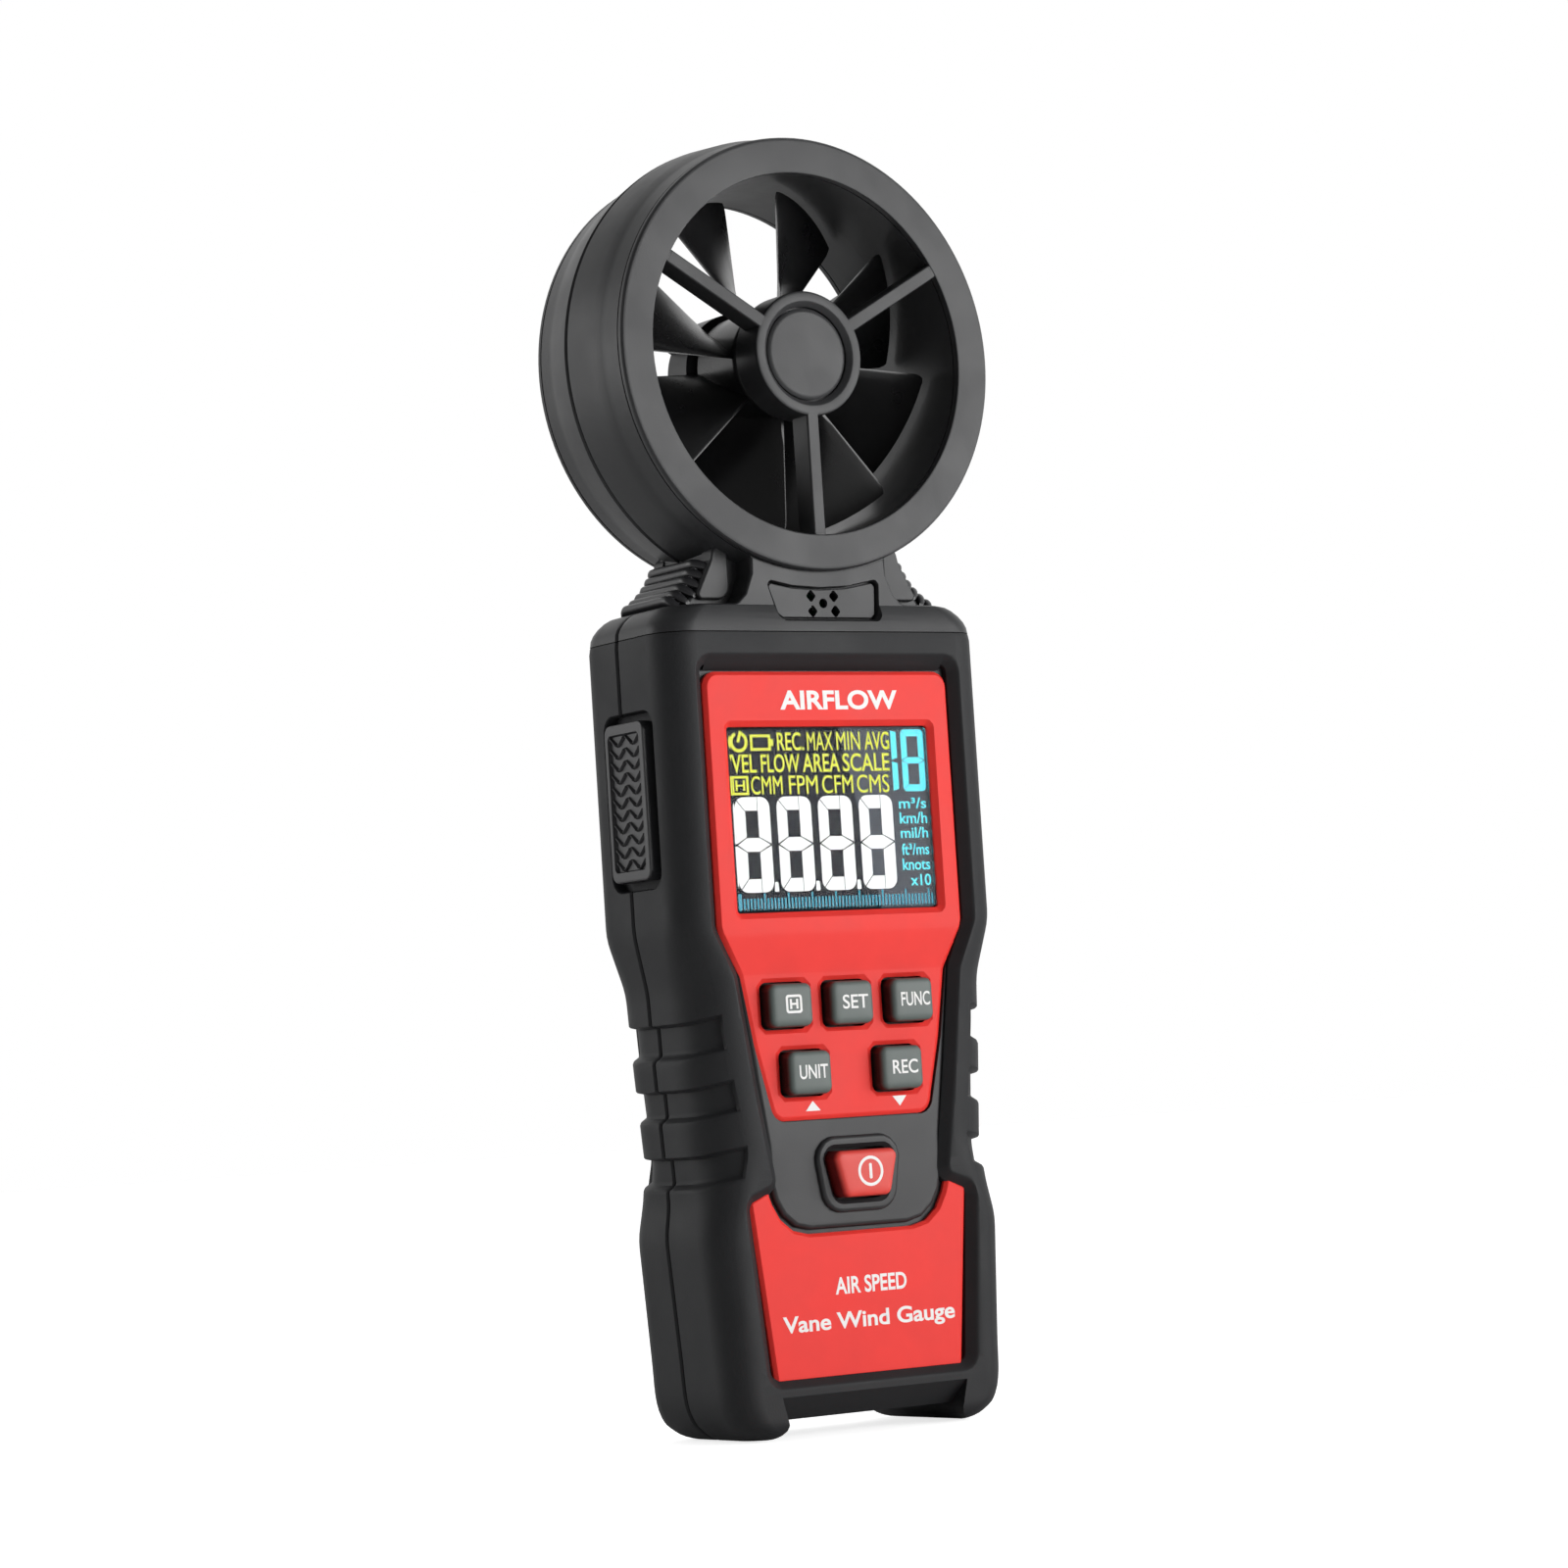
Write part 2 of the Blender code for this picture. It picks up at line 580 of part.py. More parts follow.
def screen_parts():
    middle = (SCREEN_LOW + SCREEN_HIGH) / 2
    half_z = (SCREEN_HIGH - SCREEN_LOW) / 2 - 0.3 * MM
    pane = rectangle(0, middle, SCREEN_HALF - 0.3 * MM, half_z)
    finish(plate("lcd_window", pane, PANEL_FRONT + 0.5 * MM, PANEL_BACK), "clear_plastic")
    finish(plate("lcd_module", pane, CASE_FRONT, 4.4 * MM), "display_glass")
    holder = rectangle(0, middle, 21.3 * MM, 17.0 * MM)
    finish(plate("lcd_frame", rounded(holder, MM), 4.7 * MM, 7.6 * MM), "white_plastic")


def vent_insert():
    """Label plate over the temperature sensor, with five holes."""
    middle = Vector((0.8, 134.9))
    inner = []
    for x, z in LABEL:
        away = Vector((x, z)) - middle
        inner.append((middle.x + away.x * 0.97, middle.y + away.y * 0.90))
    insert = plate("vent_insert", scaled(inner), NECK_FRONT + 0.6 * MM, NECK_FRONT + 1.3 * MM)
    for index, (x, z) in enumerate(((0.8, 134.8), (-1.4, 136.0), (3.0, 136.0), (-1.3, 133.5), (3.1, 133.5))):
        cut(insert, rod(f"vent_{index}", x * MM, z * MM, 0.7 * MM, 0, 5 * MM, cutting, 8))
    return finish(insert, "black_plastic")


# ---- pads ---------------------------------------------------------------------------------
def neck_pad(name, side):
    """Ribbed rubber pad on the slope between the shoulder and the ring."""
    low = Vector((26.4, 135.4))
    high = Vector((19.9, 142.6))
    run = high - low
    normal = Vector((run.y, -run.x)).normalized()
    outer = []
    for rib in range(6):
        for share, lift in ((0.05, -0.35), (0.3, 0.35), (0.7, 0.35), (0.95, -0.35)):
            step = (rib + share) / 6
            sag = -0.9 * math.sin(math.pi * step)
            outer.append(low + run * step + normal * (lift + sag))
    inner = [high - normal * 1.4, low + run * 0.5 - normal * 1.8, low - normal * 1.0]
    points = [(side * point.x, point.y) for point in outer + inner]
    return finish(plate(name, scaled(points), NECK_FRONT + 5.2 * MM, 22.0 * MM), "soft_rubber")


def side_pad(name, side):
    """Textured grip pad let into the side wall, across the covers' parting."""
    outline = rounded([(7.0, 90.5), (19.2, 90.5), (19.2, 116.5), (7.0, 116.5)], 1.8)
    rings = []
    for x, shrink in ((29.9, 0), (32.0, 0), (32.6, 0.6)):
        ring = []
        for depth, z in outline:
            away = Vector((depth - 13.1, z - 103.5))
            away -= away.normalized() * shrink
            ring.append((side * x * MM, (13.1 + away.x) * MM, (103.5 + away.y) * MM))
        rings.append(ring)
    return finish(loft(name, rings), "soft_rubber")


# ---- keys ---------------------------------------------------------------------------------
def keys():
    for name, x, z in key_places():
        outline = rounded(rectangle(x, z, KEY_SIZE[0] / 2, KEY_SIZE[1] / 2), 1.2 * MM)
        key = plate(name, outline, KEY_FRONT, KEY_BACK)
        centre_on(key, x, z)
        finish(bevelled(key, 0.5 * MM, 1), "key_rubber")
    key = plate("power_key", power_outline(0.0), -POWER_KEY_PROUD, KEY_BACK)
    centre_on(key, 0, 41.5 * MM)
    finish(bevelled(key, 0.5 * MM, 1), "red_rubber")


# ---- vane ---------------------------------------------------------------------------------
def spoke(name, angle, inner, outer, face, back, width):
    """A straight bar from the hub outwards, at an angle counted from +X."""
    low, high = sorted((face, back))
    bar = box(name, (inner, low, -width / 2), (outer, high, width / 2), cutting)
    bar.data.transform(Matrix.Rotation(-math.radians(angle), 4, "Y"))
    bar.location.z = RING_CENTRE
    return bar


def guard(name, face, inside, ring_radius):
    """Bezel ring, three spokes and the hub that holds a bearing, in one moulding."""
    side = 1 if inside > face else -1
    low, high = sorted((face, face + side * BEZEL_THICK))
    ring = turned(name, [(ring_radius, low), (ring_radius, high), (DUCT_RADIUS, high), (DUCT_RADIUS, low)],
                  (0, RING_CENTRE))
    for angle in SPOKE_ANGLES:
        join(ring, spoke(f"{name}_spoke_{angle}", angle, 6 * MM, DUCT_RADIUS - 0.5 * MM,
                         face + side * 0.05 * MM, face + side * SPOKE_DEPTH, SPOKE_WIDTH))
        join(ring, spoke(f"{name}_root_{angle}", angle, 25 * MM, DUCT_RADIUS + 2 * MM,
                         face + side * 0.1 * MM, face + side * (BEZEL_THICK - 0.1 * MM), SPOKE_WIDTH * 0.9))
    low, high = sorted((face, face + side * HUB_DEPTH))
    join(ring, rod(name + "_hub", 0, RING_CENTRE, HUB_RADIUS, low, high, cutting, 32))
    low, high = sorted((face - side * MM, face + side * 1.6 * MM))
    cut(ring, rod(name + "_disc_seat", 0, RING_CENTRE, 7.9 * MM, low, high, cutting, 32))
    low, high = sorted((face + side * 3.2 * MM, inside + side * 2 * MM))
    cut(ring, rod(name + "_bearing_seat", 0, RING_CENTRE, BEARING_RADIUS + GAP, low, high, cutting, 16))
    return finish(ring, "black_plastic")


def hub_cap(name, face, side):
    low, high = sorted((face + side * 0.5 * MM, face + side * 1.3 * MM))
    finish(rod(name, 0, RING_CENTRE, 7.6 * MM, low, high, sides=32), "black_plastic")


def bearing(name, low, high):
    bore = SHAFT_RADIUS + 0.08 * MM
    profile = [(BEARING_RADIUS, low), (BEARING_RADIUS, high), (bore, high), (bore, low)]
    finish(turned(name, profile, (0, RING_CENTRE), 16), "steel")


def blade(index):
    """One twisted blade, from inside the hub to the tip."""
    start = BLADE_START + 360 / BLADE_COUNT * index
    rings = []
    for radius in (ROTOR_HUB - 1.2 * MM, 18 * MM, BLADE_TIP):
        ring = []
        stations = [i / 3 for i in range(4)]
        for edge, order in ((1, stations), (-1, stations[::-1])):
            for share in order:
                depth = BLADE_FRONT + (BLADE_BACK - BLADE_FRONT) * share
                lean = math.atan2(radius * math.radians(-BLADE_TWIST), BLADE_BACK - BLADE_FRONT)
                spread = edge * BLADE_THICK / 2 / math.cos(lean) / radius
                turn = math.radians(start + BLADE_TWIST * share) + spread
                ring.append((radius * math.cos(turn), depth, RING_CENTRE + radius * math.sin(turn)))
        rings.append(ring)
    return loft(f"blade_{index}", rings, cutting, twisted=True)


def rotor():
    profile = [(0, ROTOR_FRONT), (ROTOR_HUB - 1.5 * MM, ROTOR_FRONT), (ROTOR_HUB, ROTOR_FRONT + 1.5 * MM),
               (ROTOR_HUB, ROTOR_BACK - MM), (ROTOR_HUB - MM, ROTOR_BACK), (0, ROTOR_BACK)]
    impeller = turned("impeller", profile[::-1], (0, RING_CENTRE), 32)
    join(impeller, *[blade(index) for index in range(BLADE_COUNT)])
    bore = rod("impeller_bore", 0, RING_CENTRE, SHAFT_RADIUS + GAP, 0, 30 * MM, cutting, 16)
    cut(impeller, bore)
    centre_on(impeller, 0, RING_CENTRE)
    finish(impeller, "black_plastic")
    shaft = rod("rotor_shaft", 0, RING_CENTRE, SHAFT_RADIUS, 3.6 * MM, RING_BACK - 3.6 * MM, sides=16)
    centre_on(shaft, 0, RING_CENTRE)
    finish(shaft, "steel")


def vane_head():
    guard("front_guard", 0.0, HUB_DEPTH, BEZEL_RADIUS)
    guard("rear_guard", RING_BACK, RING_BACK - HUB_DEPTH, BEZEL_RADIUS - 0.4 * MM)
    hub_cap("front_hub_cap", 0.0, 1)
    hub_cap("rear_hub_cap", RING_BACK, -1)
    bearing("front_bearing", 3.6 * MM, 6.0 * MM)
    bearing("rear_bearing", RING_BACK - 6.0 * MM, RING_BACK - 3.6 * MM)
    rotor()


# ---- electronics --------------------------------------------------------------------------
def electronics():
    board = ((21.5, 118), (21.5, 79), (18.5, 75), (18.5, 34))
    finish(plate("circuit_board", mirrored(board), 8.0 * MM, 9.6 * MM), "board_green")
    mat = ((17.5, 74.6), (13.5, 36))
    finish(plate("keypad_mat", rounded(mirrored(mat), 2 * MM), KEY_BACK + KEY_TRAVEL + GAP, 7.6 * MM),
           "key_rubber")
    finish(rod("buzzer", 11 * MM, 98 * MM, 5.5 * MM, 9.9 * MM, 13.2 * MM), "black_plastic")
    sensor = rectangle(0, 133.5 * MM, 7 * MM, 5.5 * MM)
    finish(plate("pickup_board", sensor, 11.0 * MM, 12.2 * MM), "board_green")
    bm = bmesh.new()
    bmesh.ops.create_uvsphere(bm, u_segments=12, v_segments=8, radius=1.2 * MM)
    bmesh.ops.translate(bm, vec=(0.8 * MM, 6.2 * MM, 134.9 * MM), verts=bm.verts)
    finish(add_object("thermistor", bm), "steel")


# ---- power --------------------------------------------------------------------------------
def battery_tray():
    """Tray with a slot for each cell, notched at both ends for the contact strips."""
    tray = box("battery_case", (-TRAY_HALF, TRAY_FRONT, TRAY_LOW), (TRAY_HALF, TRAY_BACK, TRAY_HIGH))
    half = CELL_RADIUS + 0.25 * MM
    for index in (-1, 0, 1):
        x = index * CELL_PITCH
        cut(tray, box(f"cell_slot_{index + 2}", (x - half, CELL_DEPTH - CELL_RADIUS - GAP, TRAY_LOW + MM),
                      (x + half, TRAY_BACK + MM, TRAY_HIGH - MM), cutting))
    for name, x, low in contacts():
        cut(tray, box(name + "_notch", (x - CELL_PITCH, CELL_DEPTH - 3.7 * MM, low - 0.4 * MM),
                      (x + CELL_PITCH, TRAY_BACK + MM, low + 0.9 * MM), cutting))
    finish(tray, "black_plastic")


def contacts():
    """Name, middle and height of the strips that link two cells, one at each end."""
    return (("contact_minus", -CELL_PITCH / 2, CONTACT_LOW), ("contact_plus", CELL_PITCH / 2, CONTACT_HIGH))


def cells():
    """Three AAA cells side by side, the middle one upside down."""
    whole = CELL_LENGTH + CELL_TIP
    nub = 1.9 * MM
    profile = [(0, whole), (nub, whole), (nub, CELL_LENGTH), (CELL_RADIUS, CELL_LENGTH),
               (CELL_RADIUS, 0), (0, 0)]
    for index in (-1, 0, 1):
        cell = turned(f"battery_{index + 2}", profile, (0, 0), 16)
        turn = Matrix.Rotation(math.pi / 2, 4, "X")
        if index == 0:
            turn = Matrix.Translation((0, 0, whole)) @ Matrix.Rotation(-math.pi / 2, 4, "X")
        cell.data.transform(Matrix.Translation((index * CELL_PITCH, CELL_DEPTH, CELL_LOW)) @ turn)
        finish(cell, "cell_jacket")
    for name, x, low in contacts():
        reach = CELL_PITCH / 2 + 3.5 * MM
        strip = box(name, (x - reach, CELL_DEPTH - 3.4 * MM, low),
                    (x + reach, CELL_DEPTH + 4 * MM, low + CONTACT_THICK))
        finish(strip, "brass")


def battery_door():
    outline = rounded(rectangle(0, DOOR_CENTRE, *DOOR_HALF), 2.7 * MM)
    door = plate("battery_door", outline, CASE_BACK + GAP, DOOR_BACK)
    cut(door, rod("door_head_seat", *DOOR_SCREW, 2.6 * MM, DOOR_BACK - HEAD_HEIGHT - GAP, 30 * MM, cutting),
        rod("door_shank_hole", *DOOR_SCREW, SHANK_RADIUS + GAP, 20 * MM, 30 * MM, cutting))
    finish(door, "black_plastic")


# ---- fasteners ----------------------------------------------------------------------------
def screw(name, x, z, seat, length, head_radius):
    """Pan head screw driven from the back, with a slot."""
    top = seat + HEAD_HEIGHT
    tip = seat - length
    profile = [(0, top), (head_radius - 0.3 * MM, top), (head_radius, top - 0.4 * MM), (head_radius, seat),
               (SHANK_RADIUS, seat), (SHANK_RADIUS, tip), (0, tip - 0.6 * MM)]
    item = turned(name, profile, (x, z), 12)
    slot = box(name + "_slot", (x - 1.6 * MM, seat + 0.6 * MM, z - 0.35 * MM),
               (x + 1.6 * MM, top + MM, z + 0.35 * MM), cutting)
    finish(cut(item, slot), "steel")


def fasteners():
    for index, (x, z) in enumerate(screw_places()):
        screw(f"case_screw_{index + 1}", x, z, CASE_BACK + GAP, 18 * MM, 2.6 * MM)
    screw("door_screw", *DOOR_SCREW, DOOR_BACK - HEAD_HEIGHT, 5.4 * MM, 2.2 * MM)


# ---- assembly -----------------------------------------------------------------------------
front_cover()
rear_cover()
front_case()
rear_case()
display_panel()
lower_plate()
screen_parts()
vent_insert()
for pad_name, pad_side in (("left", -1), ("right", 1)):
    neck_pad("neck_pad_" + pad_name, pad_side)
    side_pad("side_pad_" + pad_name, pad_side)
keys()
vane_head()
electronics()
battery_tray()
cells()
battery_door()
fasteners()
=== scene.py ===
"""Vane anemometer, finished: the looks of the meter's casing, keys, display and vane.

Lengths are drawn in millimetres as (x, depth, z), where depth is counted back from the front
rim of the rubber covers and z up from the feet; place() turns them into the frame's metres.
"""
import math

import bmesh
import bpy
from mathutils import Matrix, Vector


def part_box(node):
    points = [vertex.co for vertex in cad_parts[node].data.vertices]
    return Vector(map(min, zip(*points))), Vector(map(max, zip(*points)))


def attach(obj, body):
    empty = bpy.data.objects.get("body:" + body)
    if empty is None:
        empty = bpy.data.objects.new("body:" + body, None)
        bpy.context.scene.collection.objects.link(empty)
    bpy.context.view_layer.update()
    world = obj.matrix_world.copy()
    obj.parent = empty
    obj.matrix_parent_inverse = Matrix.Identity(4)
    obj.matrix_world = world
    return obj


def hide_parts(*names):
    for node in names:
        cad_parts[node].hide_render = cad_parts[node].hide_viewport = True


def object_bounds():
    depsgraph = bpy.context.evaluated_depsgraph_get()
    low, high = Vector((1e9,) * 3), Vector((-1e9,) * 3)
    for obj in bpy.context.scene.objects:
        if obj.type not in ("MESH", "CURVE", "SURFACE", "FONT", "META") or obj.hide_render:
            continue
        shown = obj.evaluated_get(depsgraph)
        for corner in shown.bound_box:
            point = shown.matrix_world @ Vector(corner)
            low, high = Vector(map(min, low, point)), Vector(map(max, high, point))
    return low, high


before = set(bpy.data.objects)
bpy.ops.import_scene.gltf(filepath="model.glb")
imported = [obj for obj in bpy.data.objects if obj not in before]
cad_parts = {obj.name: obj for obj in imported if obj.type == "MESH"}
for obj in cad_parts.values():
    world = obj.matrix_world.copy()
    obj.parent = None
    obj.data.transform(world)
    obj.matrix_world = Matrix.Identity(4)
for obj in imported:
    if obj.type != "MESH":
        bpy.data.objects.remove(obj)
cad_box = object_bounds()

# ---- Rubber covers ------------------------------------------------------------------------
# Two soft rubber half covers are stretched over the hard case and meet on the side walls.
# They are moulded with finger pockets in the waist, feet at the bottom and a sloped lip
# round the keypad.  Each is lofted from plan sections, then opened with lofted cutters.
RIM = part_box("front_grip")[0].y
BODY_DEPTH = 28.0
PARTING = 15.0
SEAM = 0.2
SEAM_DEEP = 0.8
SEAM_CLOSED = SEAM - 0.01
COVER_WIDTH = ((0, 21.5), (0.8, 23.6), (2, 25.0), (4, 26.4), (7, 27.1), (13, 27.4), (33, 28.8),
               (38, 27.9), (60, 29.1), (72.3, 29.5), (82, 31.4), (131, 31.4))
COVER_CORNER = ((0, 5), (33, 6), (37, 6.5), (45, 9.5), (74, 8.5), (82, 6), (131, 6))
CASE_WIDTH = ((5, 20.5), (8, 23.2), (33, 25.0), (38, 25.2), (41, 24.2), (74, 25.2), (82, 28.2),
              (135, 28.2))
CASE_CORNER = ((38, 2), (41, 5), (67, 5), (70, 2), (135, 2))
FINGER_POCKETS = ((41.4, 45.4), (52.2, 56.2), (62.2, 66.8))
POCKET_DEPTH = 1.5
POCKET_FACE_SHARE = 0.45
FRONT_POCKET_ENDS = ((43.4, 0.35), (54.2, 0.6), (64.5, 0.95))
REAR_POCKET_ENDS = ((43.4, 1.2), (64.5, 1.2))
OPENING = ((25.6, 126), (25.6, 82), (22.0, 74.3), (19.4, 56), (17.3, 43), (17.0, 40.6),
           (22.6, 38.4), (20.2, 8.3))


def along(outline, z):
    for (low, first), (high, last) in zip(outline, outline[1:]):
        if z <= high:
            return first + (last - first) * max(z - low, 0) / (high - low)
    return outline[-1][1]


def eased(outline, z, reach=1.6):
    """An outline's value with its corners rounded off over the reach."""
    share = min(reach, z)
    steps = [share * i / 4 for i in range(-4, 5)]
    return sum(along(outline, z + step) for step in steps) / len(steps)


def smooth_step(low, high, value):
    share = min(max((value - low) / (high - low), 0), 1)
    return share * share * (3 - 2 * share)


def new_piece(name, bm):
    bmesh.ops.recalc_face_normals(bm, faces=bm.faces)
    mesh = bpy.data.meshes.new(name)
    bm.to_mesh(mesh)
    bm.free()
    item = bpy.data.objects.new(name, mesh)
    bpy.context.scene.collection.objects.link(item)
    return item


def loft(name, rings):
    """A closed solid through rings that all have the same number of points."""
    bm = bmesh.new()
    loops = [[bm.verts.new(point) for point in ring] for ring in rings]
    count = len(rings[0])
    for lower, upper in zip(loops, loops[1:]):
        for i in range(count):
            j = (i + 1) % count
            bm.faces.new((lower[i], lower[j], upper[j], upper[i]))
    bm.faces.new(loops[0])
    bm.faces.new(loops[-1])
    return new_piece(name, bm)


def rounded(points, radius, steps=5):
    """The closed outline with an arc in each corner that is sharp enough to take one."""
    result = []
    for i, point in enumerate(points):
        corner = Vector(point)
        before = Vector(points[i - 1]) - corner
        after = Vector(points[(i + 1) % len(points)]) - corner
        half = before.angle(after) / 2
        if half > math.radians(84):
            result.append(tuple(corner))
            continue
        reach = min(radius / math.tan(half), before.length * 0.45, after.length * 0.45)
        bend = reach * math.tan(half)
        bisector = (before.normalized() + after.normalized()).normalized()
        centre = corner + bisector * (bend / math.sin(half))
        start = corner + before.normalized() * reach - centre
        end = corner + after.normalized() * reach - centre
        for step in range(steps + 1):
            turn = start.lerp(end, step / steps).normalized() * bend
            result.append(tuple(centre + turn))
    return result


def mirrored(half):
    return list(half) + [(-x, z) for x, z in reversed(half)]


def rectangle(x, z, half_x, half_z):
    return [(x - half_x, z + half_z), (x + half_x, z + half_z),
            (x + half_x, z - half_z), (x - half_x, z - half_z)]


def offset(points, by):
    """The outline moved outwards by a distance along its own normals."""
    area = sum(a[0] * b[1] - b[0] * a[1] for a, b in zip(points, points[1:] + points[:1]))
    side = by if area > 0 else -by
    moved = []
    for i, point in enumerate(points):
        here = Vector(point)
        before = (here - Vector(points[i - 1])).normalized()
        after = (Vector(points[(i + 1) % len(points)]) - here).normalized()
        normals = Vector((before.y + after.y, -before.x - after.x))
        stretch = max((1 + before.dot(after)) / 2, 0.4)
        moved.append(tuple(here + normals * 0.5 * side / stretch))
    return moved


def funnel(name, outline, profile, across=None):
    """A solid along Y, or along X for across, through (depth, outward offset) pairs."""
    rings = []
    for level, by in profile:
        ring = offset(outline, by) if by else outline
        if across:
            rings.append([(across * level, a, b) for a, b in ring])
        else:
            rings.append([(a, level, b) for a, b in ring])
    return loft(name, rings)


def slab(name, outline, front, back, edge=0.4, rear_edge=0.0):
    """A flat piece with a rounded rim on its front, and on its back where asked."""
    arc = [(1 - math.sin(t), 1 - math.cos(t)) for t in (0, 0.39, 0.785, 1.178, math.pi / 2)]
    profile = [(front + edge * drop, -edge * inset) for inset, drop in arc]
    if rear_edge:
        profile += [(back - rear_edge * drop, -rear_edge * inset) for inset, drop in reversed(arc)]
    else:
        profile.append((back, 0))
    return funnel(name, outline, profile)


def settle(item):
    """Turn what the modifiers make into the piece's own mesh."""
    bpy.context.view_layer.update()
    graph = bpy.context.evaluated_depsgraph_get()
    made = bpy.data.meshes.new_from_object(item.evaluated_get(graph))
    item.modifiers.clear()
    item.data = made
    return item


def carve(item, *cutters, operation="DIFFERENCE"):
    for cutter in cutters:
        modifier = item.modifiers.new("cut", "BOOLEAN")
        modifier.operation = operation
        modifier.solver = "EXACT"
        modifier.object = cutter
    settle(item)
    for cutter in cutters:
        bpy.data.objects.remove(cutter)
    return item


def place(item, finish, body="root", stands_for=(), sharp=32):
    """Put a drawn piece into the frame, finish it and let it ride on its body."""
    to_frame = Matrix.Translation((0, RIM, 0)) @ Matrix.Scale(0.001, 4)
    item.data.transform(to_frame)
    item.data.materials.clear()
    item.data.materials.append(finish)
    for face in item.data.polygons:
        face.material_index = 0
    item.data.shade_smooth()
    item.data.set_sharp_from_angle(angle=math.radians(sharp))
    weighted = item.modifiers.new("flat_faces_stay_flat", "WEIGHTED_NORMAL")
    weighted.keep_sharp = True
    settle(item)
    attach(item, body)
    if stands_for:
        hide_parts(*stands_for)
    return item


def half_section(width, corner, inset, wall, dent=0.0, pocket_end=2.5):
    """Right half of a plan section: (x, distance back from the face) pairs up to the wall's end.

    A finger pocket is pressed in square to the surface, from where the corner has dropped to
    pocket_end.  The wall ends in a lip, set in by the seam, that meets the other half."""
    reach = max(min((pocket_end - inset) / corner, 0.9), 0.03)
    end_turn = math.acos(1 - reach)
    turns = [end_turn * i / 9 for i in range(9)] + [end_turn - 0.012, end_turn + 0.035]
    rest = math.pi / 2 - end_turn - 0.07
    turns += [end_turn + 0.07 + rest * i / 10 for i in range(11)]
    points = []
    for t in turns:
        pressed = dent * smooth_step(end_turn - 0.013, end_turn + 0.036, t)
        pressed *= POCKET_FACE_SHARE + (1 - POCKET_FACE_SHARE) * math.sin(t)
        points.append((width - corner + (corner - pressed) * math.sin(t),
                       inset + corner - (corner - pressed) * math.cos(t)))
    straight = points[-1][1]
    side = width - dent
    points += [(side, straight + (wall - 0.35 - straight) * i / 5) for i in range(1, 6)]
    return points + [(side - 0.3, wall), (side - SEAM_DEEP, wall), (side - SEAM_DEEP, wall + SEAM_CLOSED)]


def cover_levels():
    """Heights of the sections, each with how far the finger pockets press in there."""
    levels = {round(1.25 * i, 2): 0.0 for i in range(3, 104)}
    levels.update({z: 0.0 for z in (0, 0.15, 0.4, 0.8, 1.3, 1.9, 2.5, 3.1, 129.75)})
    for low, high in FINGER_POCKETS:
        levels = {z: dent for z, dent in levels.items() if not low - 1.3 < z < high + 0.9}
        for z, share in ((low - 1.2, 0), (low - 0.8, 0.12), (low - 0.4, 0.5), (low, 0.88),
                         (low + 0.4, 1), (high - 0.05, 1), (high + 0.1, 0.85), (high + 0.35, 0.1),
                         (high + 0.5, 0)):
            levels[z] = share
        for i in range(1, 5):
            levels[low + (high - low) * i / 5] = 1.0
    return sorted((z, share) for z, share in levels.items() if z < 129.8) + [(129.85, 0.0)]


def cover(name, wall, pocket_ends):
    """One half cover, with its face at depth 0 and its side walls reaching back to wall."""
    rings = []
    for z, share in cover_levels():
        inset = 3 - math.sqrt(9 - max(3 - z, 0) ** 2) if z < 3 else 0.0
        crown = 0.15 * smooth_step(129.5, 129.85, z)
        half = half_section(eased(COVER_WIDTH, z) - crown, eased(COVER_CORNER, z), inset + crown, wall,
                            share * POCKET_DEPTH, along(pocket_ends, z))
        sweep = smooth_step(34, 41, z) - smooth_step(68, 76, z)
        ring = []
        for side in (-1, 1):
            for x, depth in (reversed(half) if side < 0 else half):
                rise = 1.5 * sweep * max(1 - depth / 8, 0) ** 2
                ring.append((side * x, depth, z + rise))
        rings.append(ring)
    return loft(name, rings)


def foot_gap(name):
    """Cutters for the gap between the feet: a passage rounded into them, and its sloped mouth."""
    def level(z, front, back):
        half = 17.0 + 2.2 * max(1 - max(z, 0) / 2.2, 0) ** 2 + 0.25 * max(z - 2.2, 0)
        return [(-half, front, z), (half, front, z), (half, back, z), (-half, back, z)]
    passage = loft(name, [level(z, -1, 29) for z in (-1, 0, 0.35, 0.8, 1.4, 2.2, 2.9)])
    mouth = loft(name + "_mouth", [level(2.6, -1, 3.7), level(2.9, -1, 3.7), level(6.7, -1, 0.2)])
    return [passage, mouth]


def pad_pocket(name, back_edge=20.4, front_edge=5.6):
    """Cutters for the pockets that the side pads sit in, with a chamfered mouth."""
    outline = rounded([(front_edge, 89.2), (back_edge, 89.2), (back_edge, 117.8), (front_edge, 117.8)], 2.6)
    profile = ((29.5, 0), (31.0, 0), (31.35, 0.2), (32.5, 1.2))
    return [funnel(name, outline, profile, across=side) for side in (-1, 1)]


def case_block(name, face, wall, grow, low, high):
    """The hard case's outside from its face back to the wall's end, larger all round by grow."""
    levels = sorted({low, high, *(z for z, _ in CASE_WIDTH + CASE_CORNER if low < z < high)})
    rings = []
    for z in levels:
        width, corner = along(CASE_WIDTH, z) + grow, along(CASE_CORNER, z)
        half = [(width - corner + corner * math.sin(t), face - grow + corner * (1 - math.cos(t)))
                for t in (0, 0.4, 0.8, 1.2, math.pi / 2)] + [(width, wall)]
        rings.append([(-x, depth, z) for x, depth in reversed(half)] + [(x, depth, z) for x, depth in half])
    return loft(name, rings)


def rod(name, x, z, radius, front, back, steps=32):
    ring = [(x + radius * math.cos(math.tau * i / steps), z + radius * math.sin(math.tau * i / steps))
            for i in range(steps)]
    return funnel(name, ring, ((front, 0), (back, 0)))


